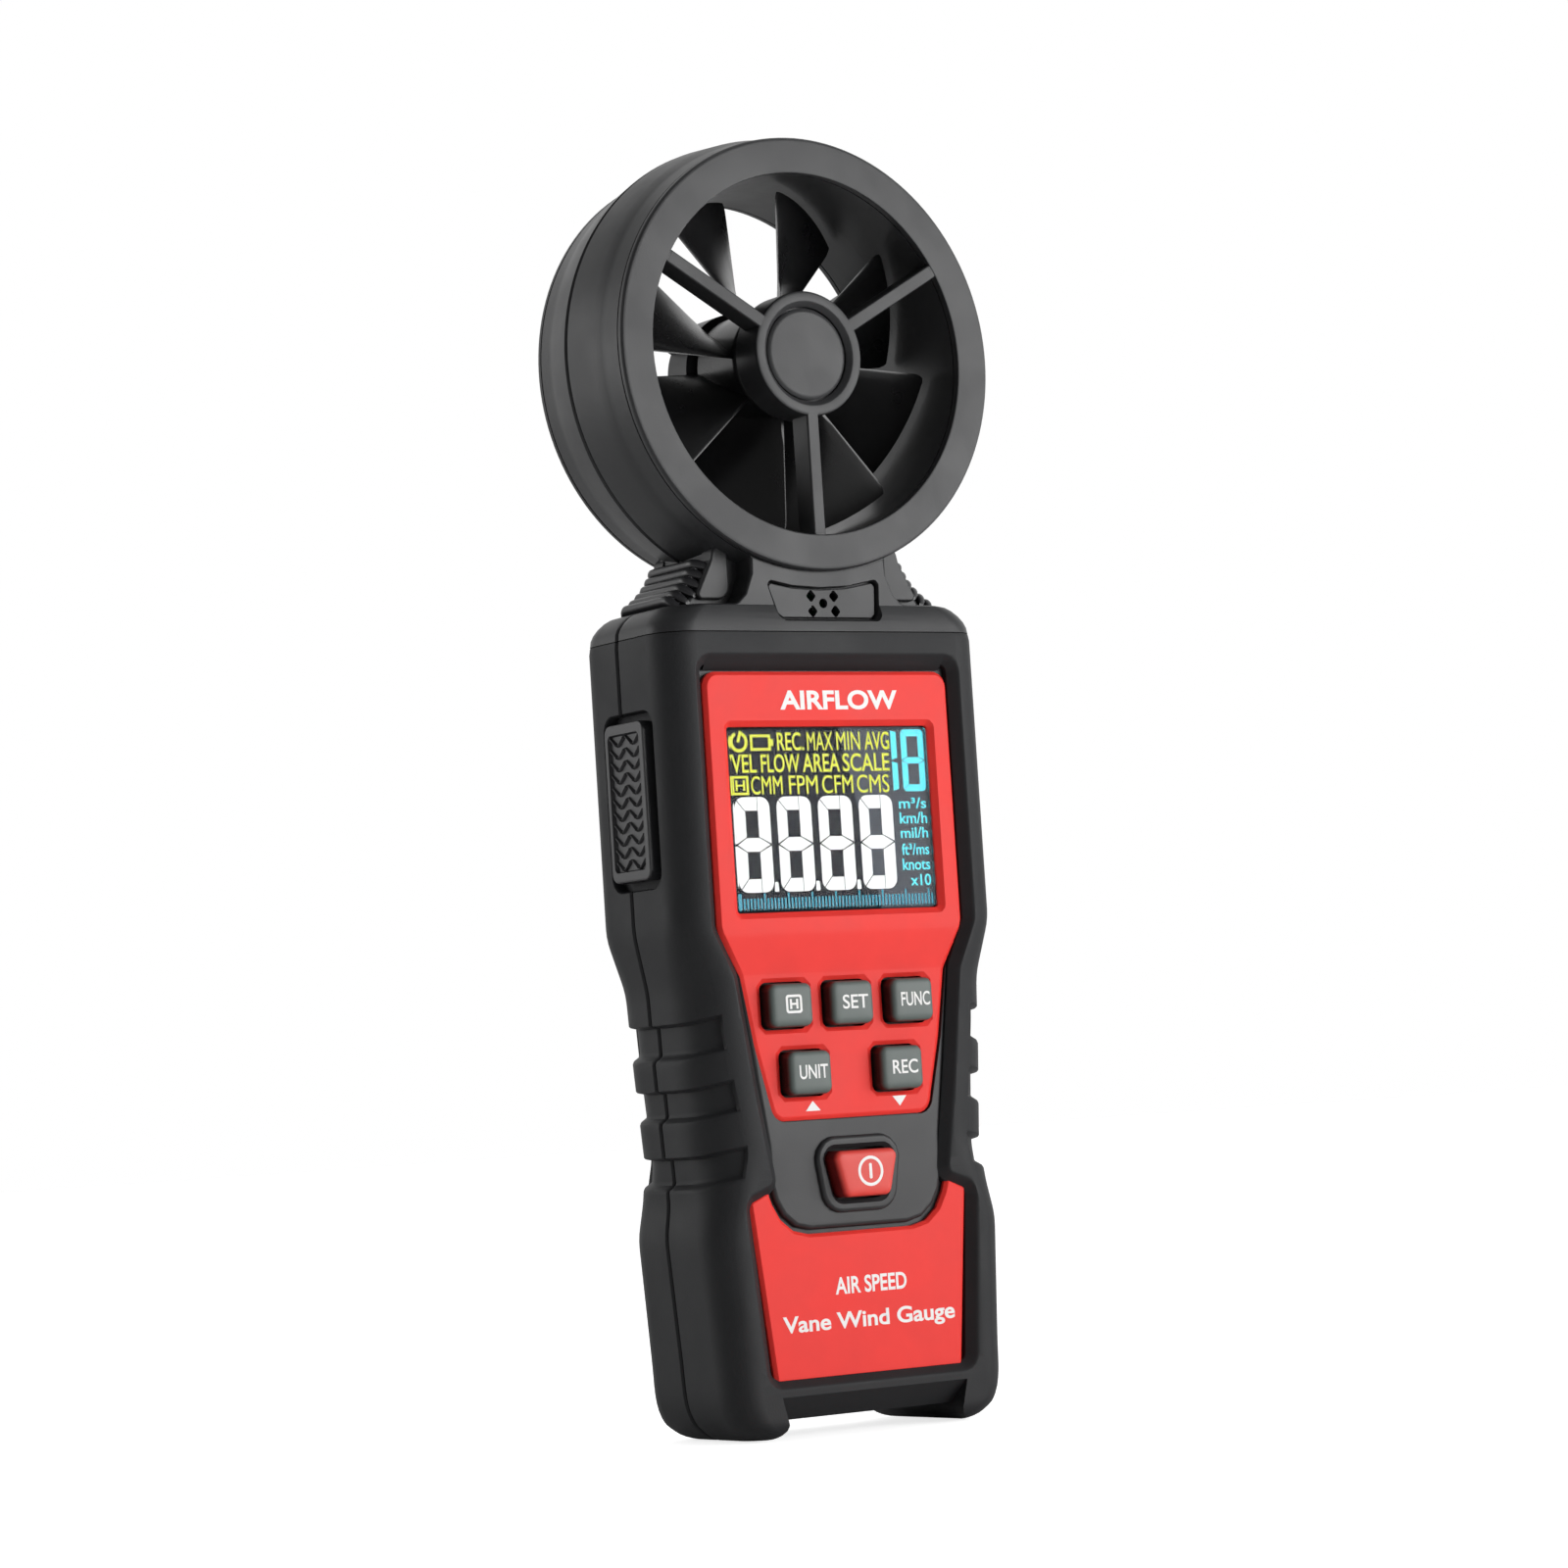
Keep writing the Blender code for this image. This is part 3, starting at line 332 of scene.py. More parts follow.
def from_behind(item):
    """Turn a piece drawn from the front round, so that its depth counts from the back face."""
    item.data.transform(Matrix.Translation((0, BODY_DEPTH, 0)) @ Matrix.Diagonal((1, -1, 1, 1)))
    item.data.flip_normals()
    return item


def shader_group(name, sizes, results):
    """An empty group for shaders with float inputs and outputs, and its two end nodes."""
    group = bpy.data.node_groups.new(name, "ShaderNodeTree")
    for label, value in sizes:
        socket = group.interface.new_socket(label, in_out="INPUT", socket_type="NodeSocketFloat")
        socket.default_value = value
    for label in results:
        group.interface.new_socket(label, in_out="OUTPUT", socket_type="NodeSocketFloat")
    return group, group.nodes.new("NodeGroupInput"), group.nodes.new("NodeGroupOutput")


def add_node(tree, kind, values=(), **settings):
    node = tree.nodes.new(kind)
    for key, value in settings.items():
        setattr(node, key, value)
    for key, value in dict(values).items():
        node.inputs[key].default_value = value
    return node


moulded_grain, sizes_in, results_out = shader_group(
    "moulded_grain", (("Fineness", 2600.0), ("Cloud size", 90.0)), ("Height", "Cloud"))
surface = add_node(moulded_grain, "ShaderNodeTexCoord").outputs["Object"]
pits = add_node(moulded_grain, "ShaderNodeTexNoise", {"Detail": 2.0, "Roughness": 0.55})
clouds = add_node(moulded_grain, "ShaderNodeTexNoise", {"Detail": 3.0, "Roughness": 0.6})
for texture, size in ((pits, "Fineness"), (clouds, "Cloud size")):
    moulded_grain.links.new(surface, texture.inputs["Vector"])
    moulded_grain.links.new(sizes_in.outputs[size], texture.inputs["Scale"])
spread = add_node(moulded_grain, "ShaderNodeMapRange", {"From Min": 0.35, "From Max": 0.65})
moulded_grain.links.new(clouds.outputs["Fac"], spread.inputs["Value"])
moulded_grain.links.new(pits.outputs["Fac"], results_out.inputs["Height"])
moulded_grain.links.new(spread.outputs["Result"], results_out.inputs["Cloud"])


def moulded(name, colour, roughness, fineness=2600.0, relief=0.25, cloud=0.06, **shader_values):
    """A finish with moulded grain, whose colour and gloss drift a little over the surface."""
    material = bpy.data.materials.new(name)
    material.use_nodes = True
    tree = material.node_tree
    shader = tree.nodes["Principled BSDF"]
    for label, value in shader_values.items():
        shader.inputs[label.replace("_", " ")].default_value = value
    grain = add_node(tree, "ShaderNodeGroup", node_tree=moulded_grain)
    grain.inputs["Fineness"].default_value = fineness
    tint = add_node(tree, "ShaderNodeMix", data_type="RGBA")
    tint.inputs[6].default_value = (*[part * (1 - cloud) for part in colour], 1)
    tint.inputs[7].default_value = (*[min(part * (1 + cloud), 1) for part in colour], 1)
    gloss = add_node(tree, "ShaderNodeMapRange", {"To Min": roughness - 0.04, "To Max": roughness + 0.04})
    bump = add_node(tree, "ShaderNodeBump", {"Strength": relief, "Distance": 0.00004})
    for start, end in ((grain.outputs["Cloud"], tint.inputs[0]), (tint.outputs[2], shader.inputs["Base Color"]),
                       (grain.outputs["Cloud"], gloss.inputs["Value"]),
                       (gloss.outputs["Result"], shader.inputs["Roughness"]),
                       (grain.outputs["Height"], bump.inputs["Height"]),
                       (bump.outputs["Normal"], shader.inputs["Normal"])):
        tree.links.new(start, end)
    return material


FRONT_WALL = PARTING - SEAM
REAR_WALL = BODY_DEPTH - PARTING - SEAM
soft_rubber = moulded("black_soft_rubber", (0.019, 0.0195, 0.021), 0.55, fineness=3200.0, relief=0.35,
                      Specular_IOR_Level=0.22)

front_skin = cover("front_cover_rubber", FRONT_WALL, FRONT_POCKET_ENDS)
lip = ((-1.5, 1.6), (0, 0.5), (0.08, 0.28), (0.25, 0.05), (0.5, -0.2), (1.5, -1.25), (2.3, -1.35), (5, -1.35))
carve(front_skin, *foot_gap("front_foot_gap"))
carve(front_skin, case_block("front_hollow", 2.6, PARTING + 1, 0.3, 5.2, 140))
carve(front_skin, funnel("front_opening", rounded(mirrored(OPENING), 2.6), lip), *pad_pocket("front_pad_pocket"))
top_slope = [(0.45, 125.95), (2.25, 123.75), (2.25, 126.4), (0.6, 126.4)]
carve(front_skin, funnel("top_slope", top_slope, ((-23.3, 0), (23.3, 0)), across=1), operation="UNION")
place(front_skin, soft_rubber, stands_for=["front_grip"])

DOOR_CENTRE = 44.3
DOOR_HALF = (17.6, 28.7)
SCREWS = ((23.8, 123.0), (19.5, 10.5))
rear_skin = cover("rear_cover_rubber", REAR_WALL, REAR_POCKET_ENDS)
carve(rear_skin, *foot_gap("rear_foot_gap"))
carve(rear_skin, case_block("rear_hollow", 2.6, PARTING + 1, 0.3, 5.2, 140))
door_frame = rounded(rectangle(0, DOOR_CENTRE, DOOR_HALF[0] + 0.3, DOOR_HALF[1] + 0.3), 3.0)
carve(rear_skin, funnel("door_opening", door_frame, ((-1, 0.9), (0, 0.35), (0.3, 0.08), (0.6, 0), (5, 0))),
      *pad_pocket("rear_pad_pocket", BODY_DEPTH - 5.6, BODY_DEPTH - 20.4))
for x, z in SCREWS:
    for side in (-1, 1):
        hole = rod("head_hole", side * x, z, 3.1, 0.6, 5)
        mouth = funnel("head_mouth", [(side * x + 3.1 * math.cos(i * 0.19635), z + 3.1 * math.sin(i * 0.19635))
                                      for i in range(32)], ((-0.5, 0.7), (0.7, -0.05)))
        carve(rear_skin, hole, mouth)
place(from_behind(rear_skin), soft_rubber, stands_for=["rear_grip"])

# ---- Hard case ----------------------------------------------------------------------------
# The hard case is two ribbed shells of black ABS that screw together at the same parting.
# Each shell is one moulding: the tub inside the rubber, the shoulder that closes it, the
# neck with its raised plate and flat cheeks, and half of the ring round the air duct.
CASE_FRONT = 2.6
CASE_WALL_THICK = 1.5
NECK_FRONT = 1.3
RING_CENTRE = 176.0
DUCT_RADIUS = 30.0
BAND_RADIUS = 37.6
NECK_CORE = ((17.6, 147), (18.2, 142.2), (20.2, 138.6), (23.4, 135.2), (24.6, 133.5), (24.6, 132.4))
NECK_PLATE = ((12.8, 147), (13.2, 139.5), (14.6, 136.2), (16.0, 134.9), (18.6, 133.6))
CHEEK = ((15.3, 144.5), (15.3, 135.7), (22.0, 135.7), (20.6, 138.4), (18.6, 142.2), (18.1, 144.5))
VENT_LABEL = ((-10.5, 138.6), (-5.5, 137.6), (0, 137.3), (5.5, 137.6), (11.0, 138.7), (11.6, 138.0),
              (11.3, 132.8), (10.6, 132.1), (-7.6, 132.1), (-8.6, 132.9))
TONGUE = ((20.9, 75.6), (20.7, 74.3), (18.2, 56), (16.9, 47), (16.8, 41.0), (16.1, 38.0), (14.7, 35.5),
          (12.4, 33.6), (9.5, 32.9))
PANEL = ((24.0, 123.5), (24.0, 82.2), (23.7, 80.9), (20.1, 74.3), (18.2, 63), (15.2, 50.6))
POWER_KEY = ((6.4, 45.3), (4.43, 37.7))
KEY_HALF = (4.1, 3.55)
KEYS = (("key_hold", -11.9, 69.2), ("key_set", 0.0, 69.2), ("key_func", 11.9, 69.2),
        ("key_unit", -9.0, 58.2), ("key_rec", 9.0, 58.2))
SCREEN_HALF = 19.65
SCREEN_MIDDLE = 99.4
SCREEN_HALF_HIGH = 15.0
hard_plastic = moulded("black_hard_plastic", (0.024, 0.0245, 0.026), 0.42, fineness=3800.0, relief=0.22,
                       Specular_IOR_Level=0.36)


def turned(name, profile, steps=144, centre=(0.0, RING_CENTRE)):
    """A ring turned about the air duct's axis from a closed (radius, depth) section."""
    bm = bmesh.new()
    loops = []
    for i in range(steps):
        turn = math.tau * i / steps
        loops.append([bm.verts.new((centre[0] + r * math.cos(turn), depth, centre[1] + r * math.sin(turn)))
                      for r, depth in profile])
    for here, following in zip(loops, loops[1:] + loops[:1]):
        for i in range(len(profile)):
            j = (i + 1) % len(profile)
            bm.faces.new((here[i], here[j], following[j], following[i]))
    bmesh.ops.remove_doubles(bm, verts=bm.verts, dist=0.0001)
    bmesh.ops.dissolve_degenerate(bm, dist=0.0001, edges=bm.edges)
    return new_piece(name, bm)


def power_outline(clearance):
    (top, high), (bottom, low) = POWER_KEY
    return rounded(mirrored([(top + clearance, high + clearance),
                             (bottom + clearance, low - clearance)]), 1.3 + clearance)


def case_half(name, ring_face, ring_radius, wall):
    """One shell of the hard case, with its tub's face at CASE_FRONT."""
    meet = wall + SEAM_CLOSED
    shell = case_block(name, CASE_FRONT, meet, 0.0, 5.5, 133.3)
    shoulder = []
    for z, width, inset in ((130.0, 31.25, 0.15), (131.0, 31.15, 0.28), (131.9, 30.75, 0.45),
                            (132.9, 29.95, 0.7), (133.8, 28.9, 0.98), (134.35, 27.9, 1.2), (134.6, 26.9, 1.6)):
        half = half_section(width, 6.0, inset, wall)
        shoulder.append([(side * x, depth, z) for side in (-1, 1)
                         for x, depth in (reversed(half) if side < 0 else half)])
    carve(shell, loft("shoulder", shoulder), slab("neck_core", mirrored(NECK_CORE), 6.0, meet, 0.8),
          slab("neck_plate", mirrored(NECK_PLATE), NECK_FRONT, meet, 0.35), operation="UNION")
    for side in (-1, 1):
        cheek = rounded([(side * x, z) for x, z in CHEEK], 2.2)
        carve(shell, slab("cheek", cheek, 4.9, 8, 0.4), operation="UNION")
    carve(shell, rod("throat_of_duct", 0, RING_CENTRE, DUCT_RADIUS + 0.9, -1, 30, 96),
          rod("bezel_seat", 0, RING_CENTRE, ring_radius + 0.3, -5, ring_face + 0.02, 96))
    step = ring_radius
    carve(shell, turned("ring_band", [
        (step, ring_face), (step + 0.32, ring_face + 3.0), (step + 0.5, ring_face + 4.2),
        (step + 1.05, ring_face + 6.0), (BAND_RADIUS - 0.05, wall - 0.3), (BAND_RADIUS - 0.35, wall),
        (BAND_RADIUS - SEAM_DEEP, wall), (BAND_RADIUS - SEAM_DEEP, meet),
        (35.8, meet), (34.2, ring_face + 1.7), (31.5, ring_face + 1.7), (31.5, meet),
        (DUCT_RADIUS, meet), (DUCT_RADIUS, ring_face)]), operation="UNION")
    hollow = case_block("hollow", CASE_FRONT, wall + 1, -CASE_WALL_THICK, 7, 128.3)
    throat = funnel("throat", rectangle(0, 133.7, 9.5, 6.6), ((NECK_FRONT + 2.6, 0), (wall + 1, 0)))
    return carve(shell, hollow, throat)


front_shell = case_half("front_case_plastic", 1.5, 36.0, FRONT_WALL)
carve(front_shell, slab("tongue", mirrored(TONGUE), 1.5, CASE_FRONT + 0.7, 0.8), operation="UNION")
carve(front_shell, funnel("panel_bed", rounded(mirrored(PANEL), 2.6), ((0, 0.2), (CASE_FRONT, 0.15))))
carve(front_shell, slab("power_surround", power_outline(2.4), 0.65, CASE_FRONT + 0.8, 0.7), operation="UNION")
for key, x, z in KEYS:
    hole = rounded(rectangle(x, z, KEY_HALF[0] + 0.5, KEY_HALF[1] + 0.5), 1.2)
    carve(front_shell, funnel(key + "_case_hole", hole, ((-1, 0), (6, 0))))
carve(front_shell, funnel("power_hole", power_outline(0.35), ((-3, 0.9), (0.6, 0.75), (0.95, 0.4), (1.3, 0), (6, 0))))
carve(front_shell, funnel("screen_hole", rectangle(0, SCREEN_MIDDLE, SCREEN_HALF + 0.2, SCREEN_HALF_HIGH + 0.2),
                          ((1, 0), (6, 0))))
label_edge = rounded(list(VENT_LABEL), 0.7)
carve(front_shell, funnel("label_recess", label_edge, ((0, 0.55), (1.35, 0.12), (1.55, 0), (2.9, 0))))
carve(front_shell, funnel("vent_bore", rectangle(0.8, 134.75, 3.5, 1.9), ((1, 0), (6, 0))))
place(front_shell, hard_plastic, stands_for=["front_case"])

rear_shell = case_half("rear_case_plastic", 1.7, 35.6, REAR_WALL)
carve(rear_shell, funnel("battery_bay", rectangle(0, 40.25, 17.9, 24.55), ((-1, 0), (7, 0))))
carve(rear_shell, rod("door_screw_bore", 0, 69.5, 1.3, -1, 8, 16))
place(from_behind(rear_shell), hard_plastic, stands_for=["rear_case"])

# ---- Vent label ---------------------------------------------------------------------------
# A small moulded plate is glued into the recess of the neck, in front of the temperature
# sensor.  Air reaches the sensor through a round hole and four diamond ones round it.
VENT_MIDDLE = Vector((0.8, 134.9))
small = [tuple(VENT_MIDDLE + Vector(((x - VENT_MIDDLE.x) * 0.965, (z - VENT_MIDDLE.y) * 0.89)))
         for x, z in VENT_LABEL]
vent = slab("vent_label_plate", rounded(small, 0.6), 1.85, 2.6, 0.18)
carve(vent, rod("vent_hole", 0.8, 134.8, 0.8, 0, 5, 24))
for x, z in ((-1.55, 136.0), (2.95, 136.0), (-1.35, 133.5), (3.15, 133.5)):
    diamond = rounded([(x, z + 1.15), (x + 1.0, z), (x, z - 1.15), (x - 1.0, z)], 0.35, 3)
    carve(vent, funnel("vent_diamond", diamond, ((0, 0), (5, 0))))
place(vent, hard_plastic, stands_for=["vent_insert"])

# ---- Neck and side grip pads --------------------------------------------------------------
# Four soft pads are pressed into the case: two of six glossy ribs on the slopes of the neck,
# and two long ones in the side walls, with a field of short slanted ridges inside a rim.
# Each rib or ridge is drawn once and repeated.
pad_rubber = moulded("black_pad_rubber", (0.02, 0.02, 0.022), 0.36, fineness=3400.0, relief=0.15)


def repeat_tree():
    """Repeats a mesh: each copy is stepped on and turned about a pivot once more than the last."""
    tree = bpy.data.node_groups.new("repeat_a_moulding", "GeometryNodeTree")
    for label, kind in (("Moulding", "Geometry"), ("Count", "Int"), ("Step", "Vector"), ("Turn", "Vector"),
                        ("Pivot", "Vector"), ("Finish", "Material")):
        tree.interface.new_socket(label, in_out="INPUT", socket_type="NodeSocket" + kind)
    tree.interface.new_socket("Row", in_out="OUTPUT", socket_type="NodeSocketGeometry")
    given = tree.nodes.new("NodeGroupInput").outputs
    made = tree.nodes.new("NodeGroupOutput").inputs

    def vector_math(operation, *values):
        node = add_node(tree, "ShaderNodeVectorMath", operation=operation)
        for value, socket in zip(values, node.inputs if operation != "SCALE" else (node.inputs[0], node.inputs[3])):
            tree.links.new(value, socket)
        return node.outputs["Vector"]

    index = tree.nodes.new("GeometryNodeInputIndex").outputs["Index"]
    turn = vector_math("SCALE", given["Turn"], index)
    step = vector_math("SCALE", given["Step"], index)
    swung = add_node(tree, "ShaderNodeVectorRotate", rotation_type="EULER_XYZ")
    nothing = add_node(tree, "ShaderNodeCombineXYZ").outputs["Vector"]
    tree.links.new(nothing, swung.inputs["Vector"])
    tree.links.new(given["Pivot"], swung.inputs["Center"])
    tree.links.new(turn, swung.inputs["Rotation"])
    line = add_node(tree, "GeometryNodeMeshLine", {"Offset": (0, 0, 0)})
    moved = tree.nodes.new("GeometryNodeSetPosition")
    copies = tree.nodes.new("GeometryNodeInstanceOnPoints")
    realized = tree.nodes.new("GeometryNodeRealizeInstances")
    finished = tree.nodes.new("GeometryNodeSetMaterial")
    for start, end in ((given["Count"], line.inputs["Count"]), (line.outputs[0], moved.inputs["Geometry"]),
                       (vector_math("ADD", swung.outputs["Vector"], step), moved.inputs["Position"]),
                       (moved.outputs[0], copies.inputs["Points"]), (given["Moulding"], copies.inputs["Instance"]),
                       (turn, copies.inputs["Rotation"]), (copies.outputs[0], realized.inputs["Geometry"]),
                       (realized.outputs[0], finished.inputs["Geometry"]),
                       (given["Finish"], finished.inputs["Material"]), (finished.outputs[0], made["Row"])):
        tree.links.new(start, end)
    return tree


repeat_a_moulding = repeat_tree()


def repeat(item, finish, count, step=(0, 0, 0), turn=(0, 0, 0), pivot=(0, 0, 0)):
    """The item's mesh repeated count times, made real."""
    modifier = item.modifiers.new("repeat", "NODES")
    modifier.node_group = repeat_a_moulding
    values = {"Count": count, "Step": step, "Turn": turn, "Pivot": pivot, "Finish": finish}
    for socket in repeat_a_moulding.interface.items_tree:
        if socket.in_out == "INPUT" and socket.name in values:
            value = values[socket.name]
            modifier[socket.identifier] = tuple(map(float, value)) if isinstance(value, tuple) else value
    return settle(item)


RIBS = 6
PAD_LOW, PAD_HIGH = Vector((26.4, 135.4)), Vector((19.9, 142.6))
PAD_SAG = 0.9
slope = PAD_HIGH - PAD_LOW
outward = Vector((slope.y, -slope.x)).normalized()
sweep_radius = slope.length ** 2 / (8 * PAD_SAG) + PAD_SAG / 2
rib_turn = 2 * math.asin(slope.length / 2 / sweep_radius) / RIBS
swing_centre = PAD_LOW + slope / 2 + outward * (sweep_radius - PAD_SAG)


def neck_rib(name, side):
    """The lowest rib: a round bar along the depth whose ends bend down into the slope."""
    start = Matrix.Rotation(-rib_turn / 2, 2) @ (PAD_LOW - swing_centre) + swing_centre
    start_normal = (swing_centre - start).normalized()
    along_slope = Vector((-start_normal.y, start_normal.x))
    stations = 26
    rings = []
    for i in range(stations + 1):
        share = i / stations
        depth = 5.6 + 17.0 * share
        droop = 1.9 * max(1 - share / 0.16, 0) ** 2 + 1.9 * max((share - 0.86) / 0.14, 0) ** 2
        radius = 0.8 * (1 - 0.5 * max(abs(share - 0.5) * 2 - 0.9, 0) / 0.1)
        middle = start - start_normal * droop
        ring = []
        for k in range(12):
            angle = math.tau * k / 12
            point = middle + along_slope * radius * math.cos(angle) + start_normal * radius * math.sin(angle)
            ring.append((side * point.x, depth, point.y))
        rings.append(ring)
    return loft(name, rings)


for word, side in (("left", -1), ("right", 1)):
    pad = neck_rib(f"neck_pad_{word}_ribs", side)
    repeat(pad, pad_rubber, RIBS, turn=(0, side * rib_turn, 0), pivot=(side * swing_centre.x, 0, swing_centre.y))
    base = []
    for i in range(13):
        spot = Matrix.Rotation(-rib_turn * (0.15 + 5.7 * i / 12), 2) @ (PAD_LOW - swing_centre) + swing_centre
        base.append((side * spot.x, spot.y))
    inner = PAD_LOW - outward * 1.9, PAD_LOW + slope / 2 - outward * 3.0, PAD_HIGH - outward * 2.4
    base += [(side * spot.x, spot.y) for spot in reversed(inner)]
    carve(pad, slab("pad_base", base, 7.0, 21.6, 0.3, 0.3), operation="UNION")
    place(pad, pad_rubber, stands_for=[f"neck_pad_{word}"], sharp=50)

RIDGE_COLUMNS, RIDGE_ROWS = 4, 11
FIELD = (8.4, 17.8, 92.4, 114.6)


def ridge(name, side, depth, z, lean):
    """A short slanted ridge with a peaked top, standing on the pad's field."""
    run, rise = 1.05, lean * 0.62
    base = [(depth - run, z - rise - 0.42), (depth + run, z + rise - 0.42),
            (depth + run, z + rise + 0.42), (depth - run, z - rise + 0.42)]
    top = [(depth - run + 0.3, z - rise - 0.06), (depth + run - 0.3, z + rise - 0.06),
           (depth + run - 0.3, z + rise + 0.06), (depth - run + 0.3, z - rise + 0.06)]
    return loft(name, [[(side * x, a, b) for a, b in ring] for x, ring in ((31.7, base), (32.35, top))])


for word, side in (("left", -1), ("right", 1)):
    outline = rounded([(7.1, 90.6), (19.1, 90.6), (19.1, 116.4), (7.1, 116.4)], 1.7)
    pad = funnel(f"side_pad_{word}_block", outline, ((29.95, 0), (31.95, 0), (32.25, -0.12), (32.42, -0.4)), across=side)
    low_d, high_d, low_z, high_z = FIELD
    field = rounded([(low_d, low_z), (high_d, low_z), (high_d, high_z), (low_d, high_z)], 0.8)
    carve(pad, funnel("field", field, ((31.85, -0.15), (32.1, 0), (33, 0.3)), across=side))
    place(pad, pad_rubber, stands_for=[f"side_pad_{word}"])
    column = (high_d - low_d) / RIDGE_COLUMNS
    row = (high_z - low_z) / RIDGE_ROWS
    for lane in range(RIDGE_COLUMNS):
        lean = 1 if lane % 2 else -1
        ridges = ridge(f"side_pad_{word}_ridges_{lane + 1}", side, low_d + column * (lane + 0.5),
                       low_z + row * 0.5, lean)
        repeat(ridges, pad_rubber, RIDGE_ROWS, step=(0, 0, row))
        place(ridges, pad_rubber)

# ---- Red plates ---------------------------------------------------------------------------
# Two red ABS plates are glued to the case inside the covers' lip.  The upper one frames the
# screen, then slopes down to the keypad, where each key stands in a shallow chamfered well.
# The lower one carries the printed words, and its ears stand beside the case's tongue.
PANEL_FRONT, KEYPAD_FRONT, PLATE_BACK = 0.9, 1.7, 2.3
SLOPE_HIGH, SLOPE_LOW = 80.9, 74.3
PLATE_FRONT = 1.2
PLATE = ((17.5, 39.8), (21.3, 38.1), (18.3, 8.8))
red_plastic = moulded("red_plastic", (0.86, 0.042, 0.034), 0.4, fineness=5200.0, relief=0.14, cloud=0.03,
                      Specular_IOR_Level=0.16)

bevel = ((PANEL_FRONT, -0.75), (PANEL_FRONT + 0.06, -0.6), (1.5, -0.08), (1.62, 0), (PLATE_BACK, 0))
panel = funnel("red_upper_plate", rounded(mirrored(PANEL), 2.6), bevel)
shape = bmesh.new()
shape.from_mesh(panel.data)
for i in range(13):
    level = SLOPE_LOW - 0.6 + (SLOPE_HIGH - SLOPE_LOW + 1.2) * i / 12
    bmesh.ops.bisect_plane(shape, geom=shape.verts[:] + shape.edges[:] + shape.faces[:],
                           plane_co=(0, 0, level), plane_no=(0, 0, 1))
for vertex in shape.verts:
    fall = min(max((SLOPE_HIGH - vertex.co.z) / (SLOPE_HIGH - SLOPE_LOW), 0), 1)
    soft = sum(min(max((SLOPE_HIGH - vertex.co.z - e) / (SLOPE_HIGH - SLOPE_LOW), 0), 1)
               for e in (-0.5, -0.25, 0, 0.25, 0.5)) / 5
    hold = min(max((PLATE_BACK - vertex.co.y) / (PLATE_BACK - PANEL_FRONT), 0), 1)
    vertex.co.y += (KEYPAD_FRONT - PANEL_FRONT) * (fall + soft) / 2 * hold
shape.to_mesh(panel.data)
shape.free()
screen_edge = rounded(rectangle(0, SCREEN_MIDDLE, SCREEN_HALF + 0.1, SCREEN_HALF_HIGH + 0.1), 0.5, 3)
carve(panel, funnel("screen_opening", screen_edge, ((0.4, 1.25), (0.85, 1.0), (1.0, 0.85), (1.75, 0), (3, 0))))
for key, x, z in KEYS:
    well = rounded(rectangle(x, z, 5.25, 4.5), 1.2, 1)
    carve(panel, funnel(key + "_well", well, ((1.0, 0.3), (1.6, 0.1), (1.72, 0), (2.18, -0.72), (2.2, -0.72))),
          funnel(key + "_hole", rounded(rectangle(x, z, KEY_HALF[0] + 0.3, KEY_HALF[1] + 0.3), 1.2),
                 ((1, 0), (4, 0))))
place(panel, red_plastic, stands_for=["display_panel"], sharp=24)

inner = [(x + 0.6, z - 0.6) for x, z in TONGUE[5:]]
half = inner[::-1] + list(PLATE)
plate = funnel("red_lower_plate", rounded(mirrored(half), 0.7),
               ((PLATE_FRONT, -0.6), (PLATE_FRONT + 0.08, -0.45), (1.75, -0.02), (PLATE_BACK, 0)))
place(plate, red_plastic, stands_for=["lower_plate"], sharp=24)

# ---- Printing -----------------------------------------------------------------------------
# White ink is pad printed on the red plates: a word above the screen, arrows under the UNIT
# and REC keys, and two lines of words on the lower plate.
PRINT_THICK = 0.04
white_ink = moulded("white_ink", (0.86, 0.85, 0.84), 0.5, fineness=6000.0, relief=0.1, cloud=0.02)


def words_on(name, text, low_x, high_x, low_z, high_z, depth, weight=0.012):
    """Words as thin raised ink that fills a box, standing on a surface at a depth."""
    curve = bpy.data.curves.new(name, "FONT")
    curve.body = text
    curve.extrude = 0.01
    curve.offset = weight
    curve.resolution_u = 6
    writing = bpy.data.objects.new(name, curve)
    bpy.context.scene.collection.objects.link(writing)
    bpy.context.view_layer.update()
    mesh = bpy.data.meshes.new_from_object(writing.evaluated_get(bpy.context.evaluated_depsgraph_get()))
    bpy.data.objects.remove(writing)
    lows = [min(vertex.co[i] for vertex in mesh.vertices) for i in range(3)]
    highs = [max(vertex.co[i] for vertex in mesh.vertices) for i in range(3)]
    for vertex in mesh.vertices:
        x, up, out = [(vertex.co[i] - lows[i]) / (highs[i] - lows[i]) for i in range(3)]
        vertex.co = (low_x + (high_x - low_x) * x, depth - PRINT_THICK * out, low_z + (high_z - low_z) * up)
    item = bpy.data.objects.new(name, mesh)
    bpy.context.scene.collection.objects.link(item)
    shape = bmesh.new()
    shape.from_mesh(mesh)
    bmesh.ops.remove_doubles(shape, verts=shape.verts, dist=0.0005)
    bmesh.ops.recalc_face_normals(shape, faces=shape.faces)
    shape.to_mesh(mesh)
    shape.free()
    return item


def flat_shape(name, points, depth, thick=PRINT_THICK):
    return funnel(name, points, ((depth - thick, 0), (depth, 0)))


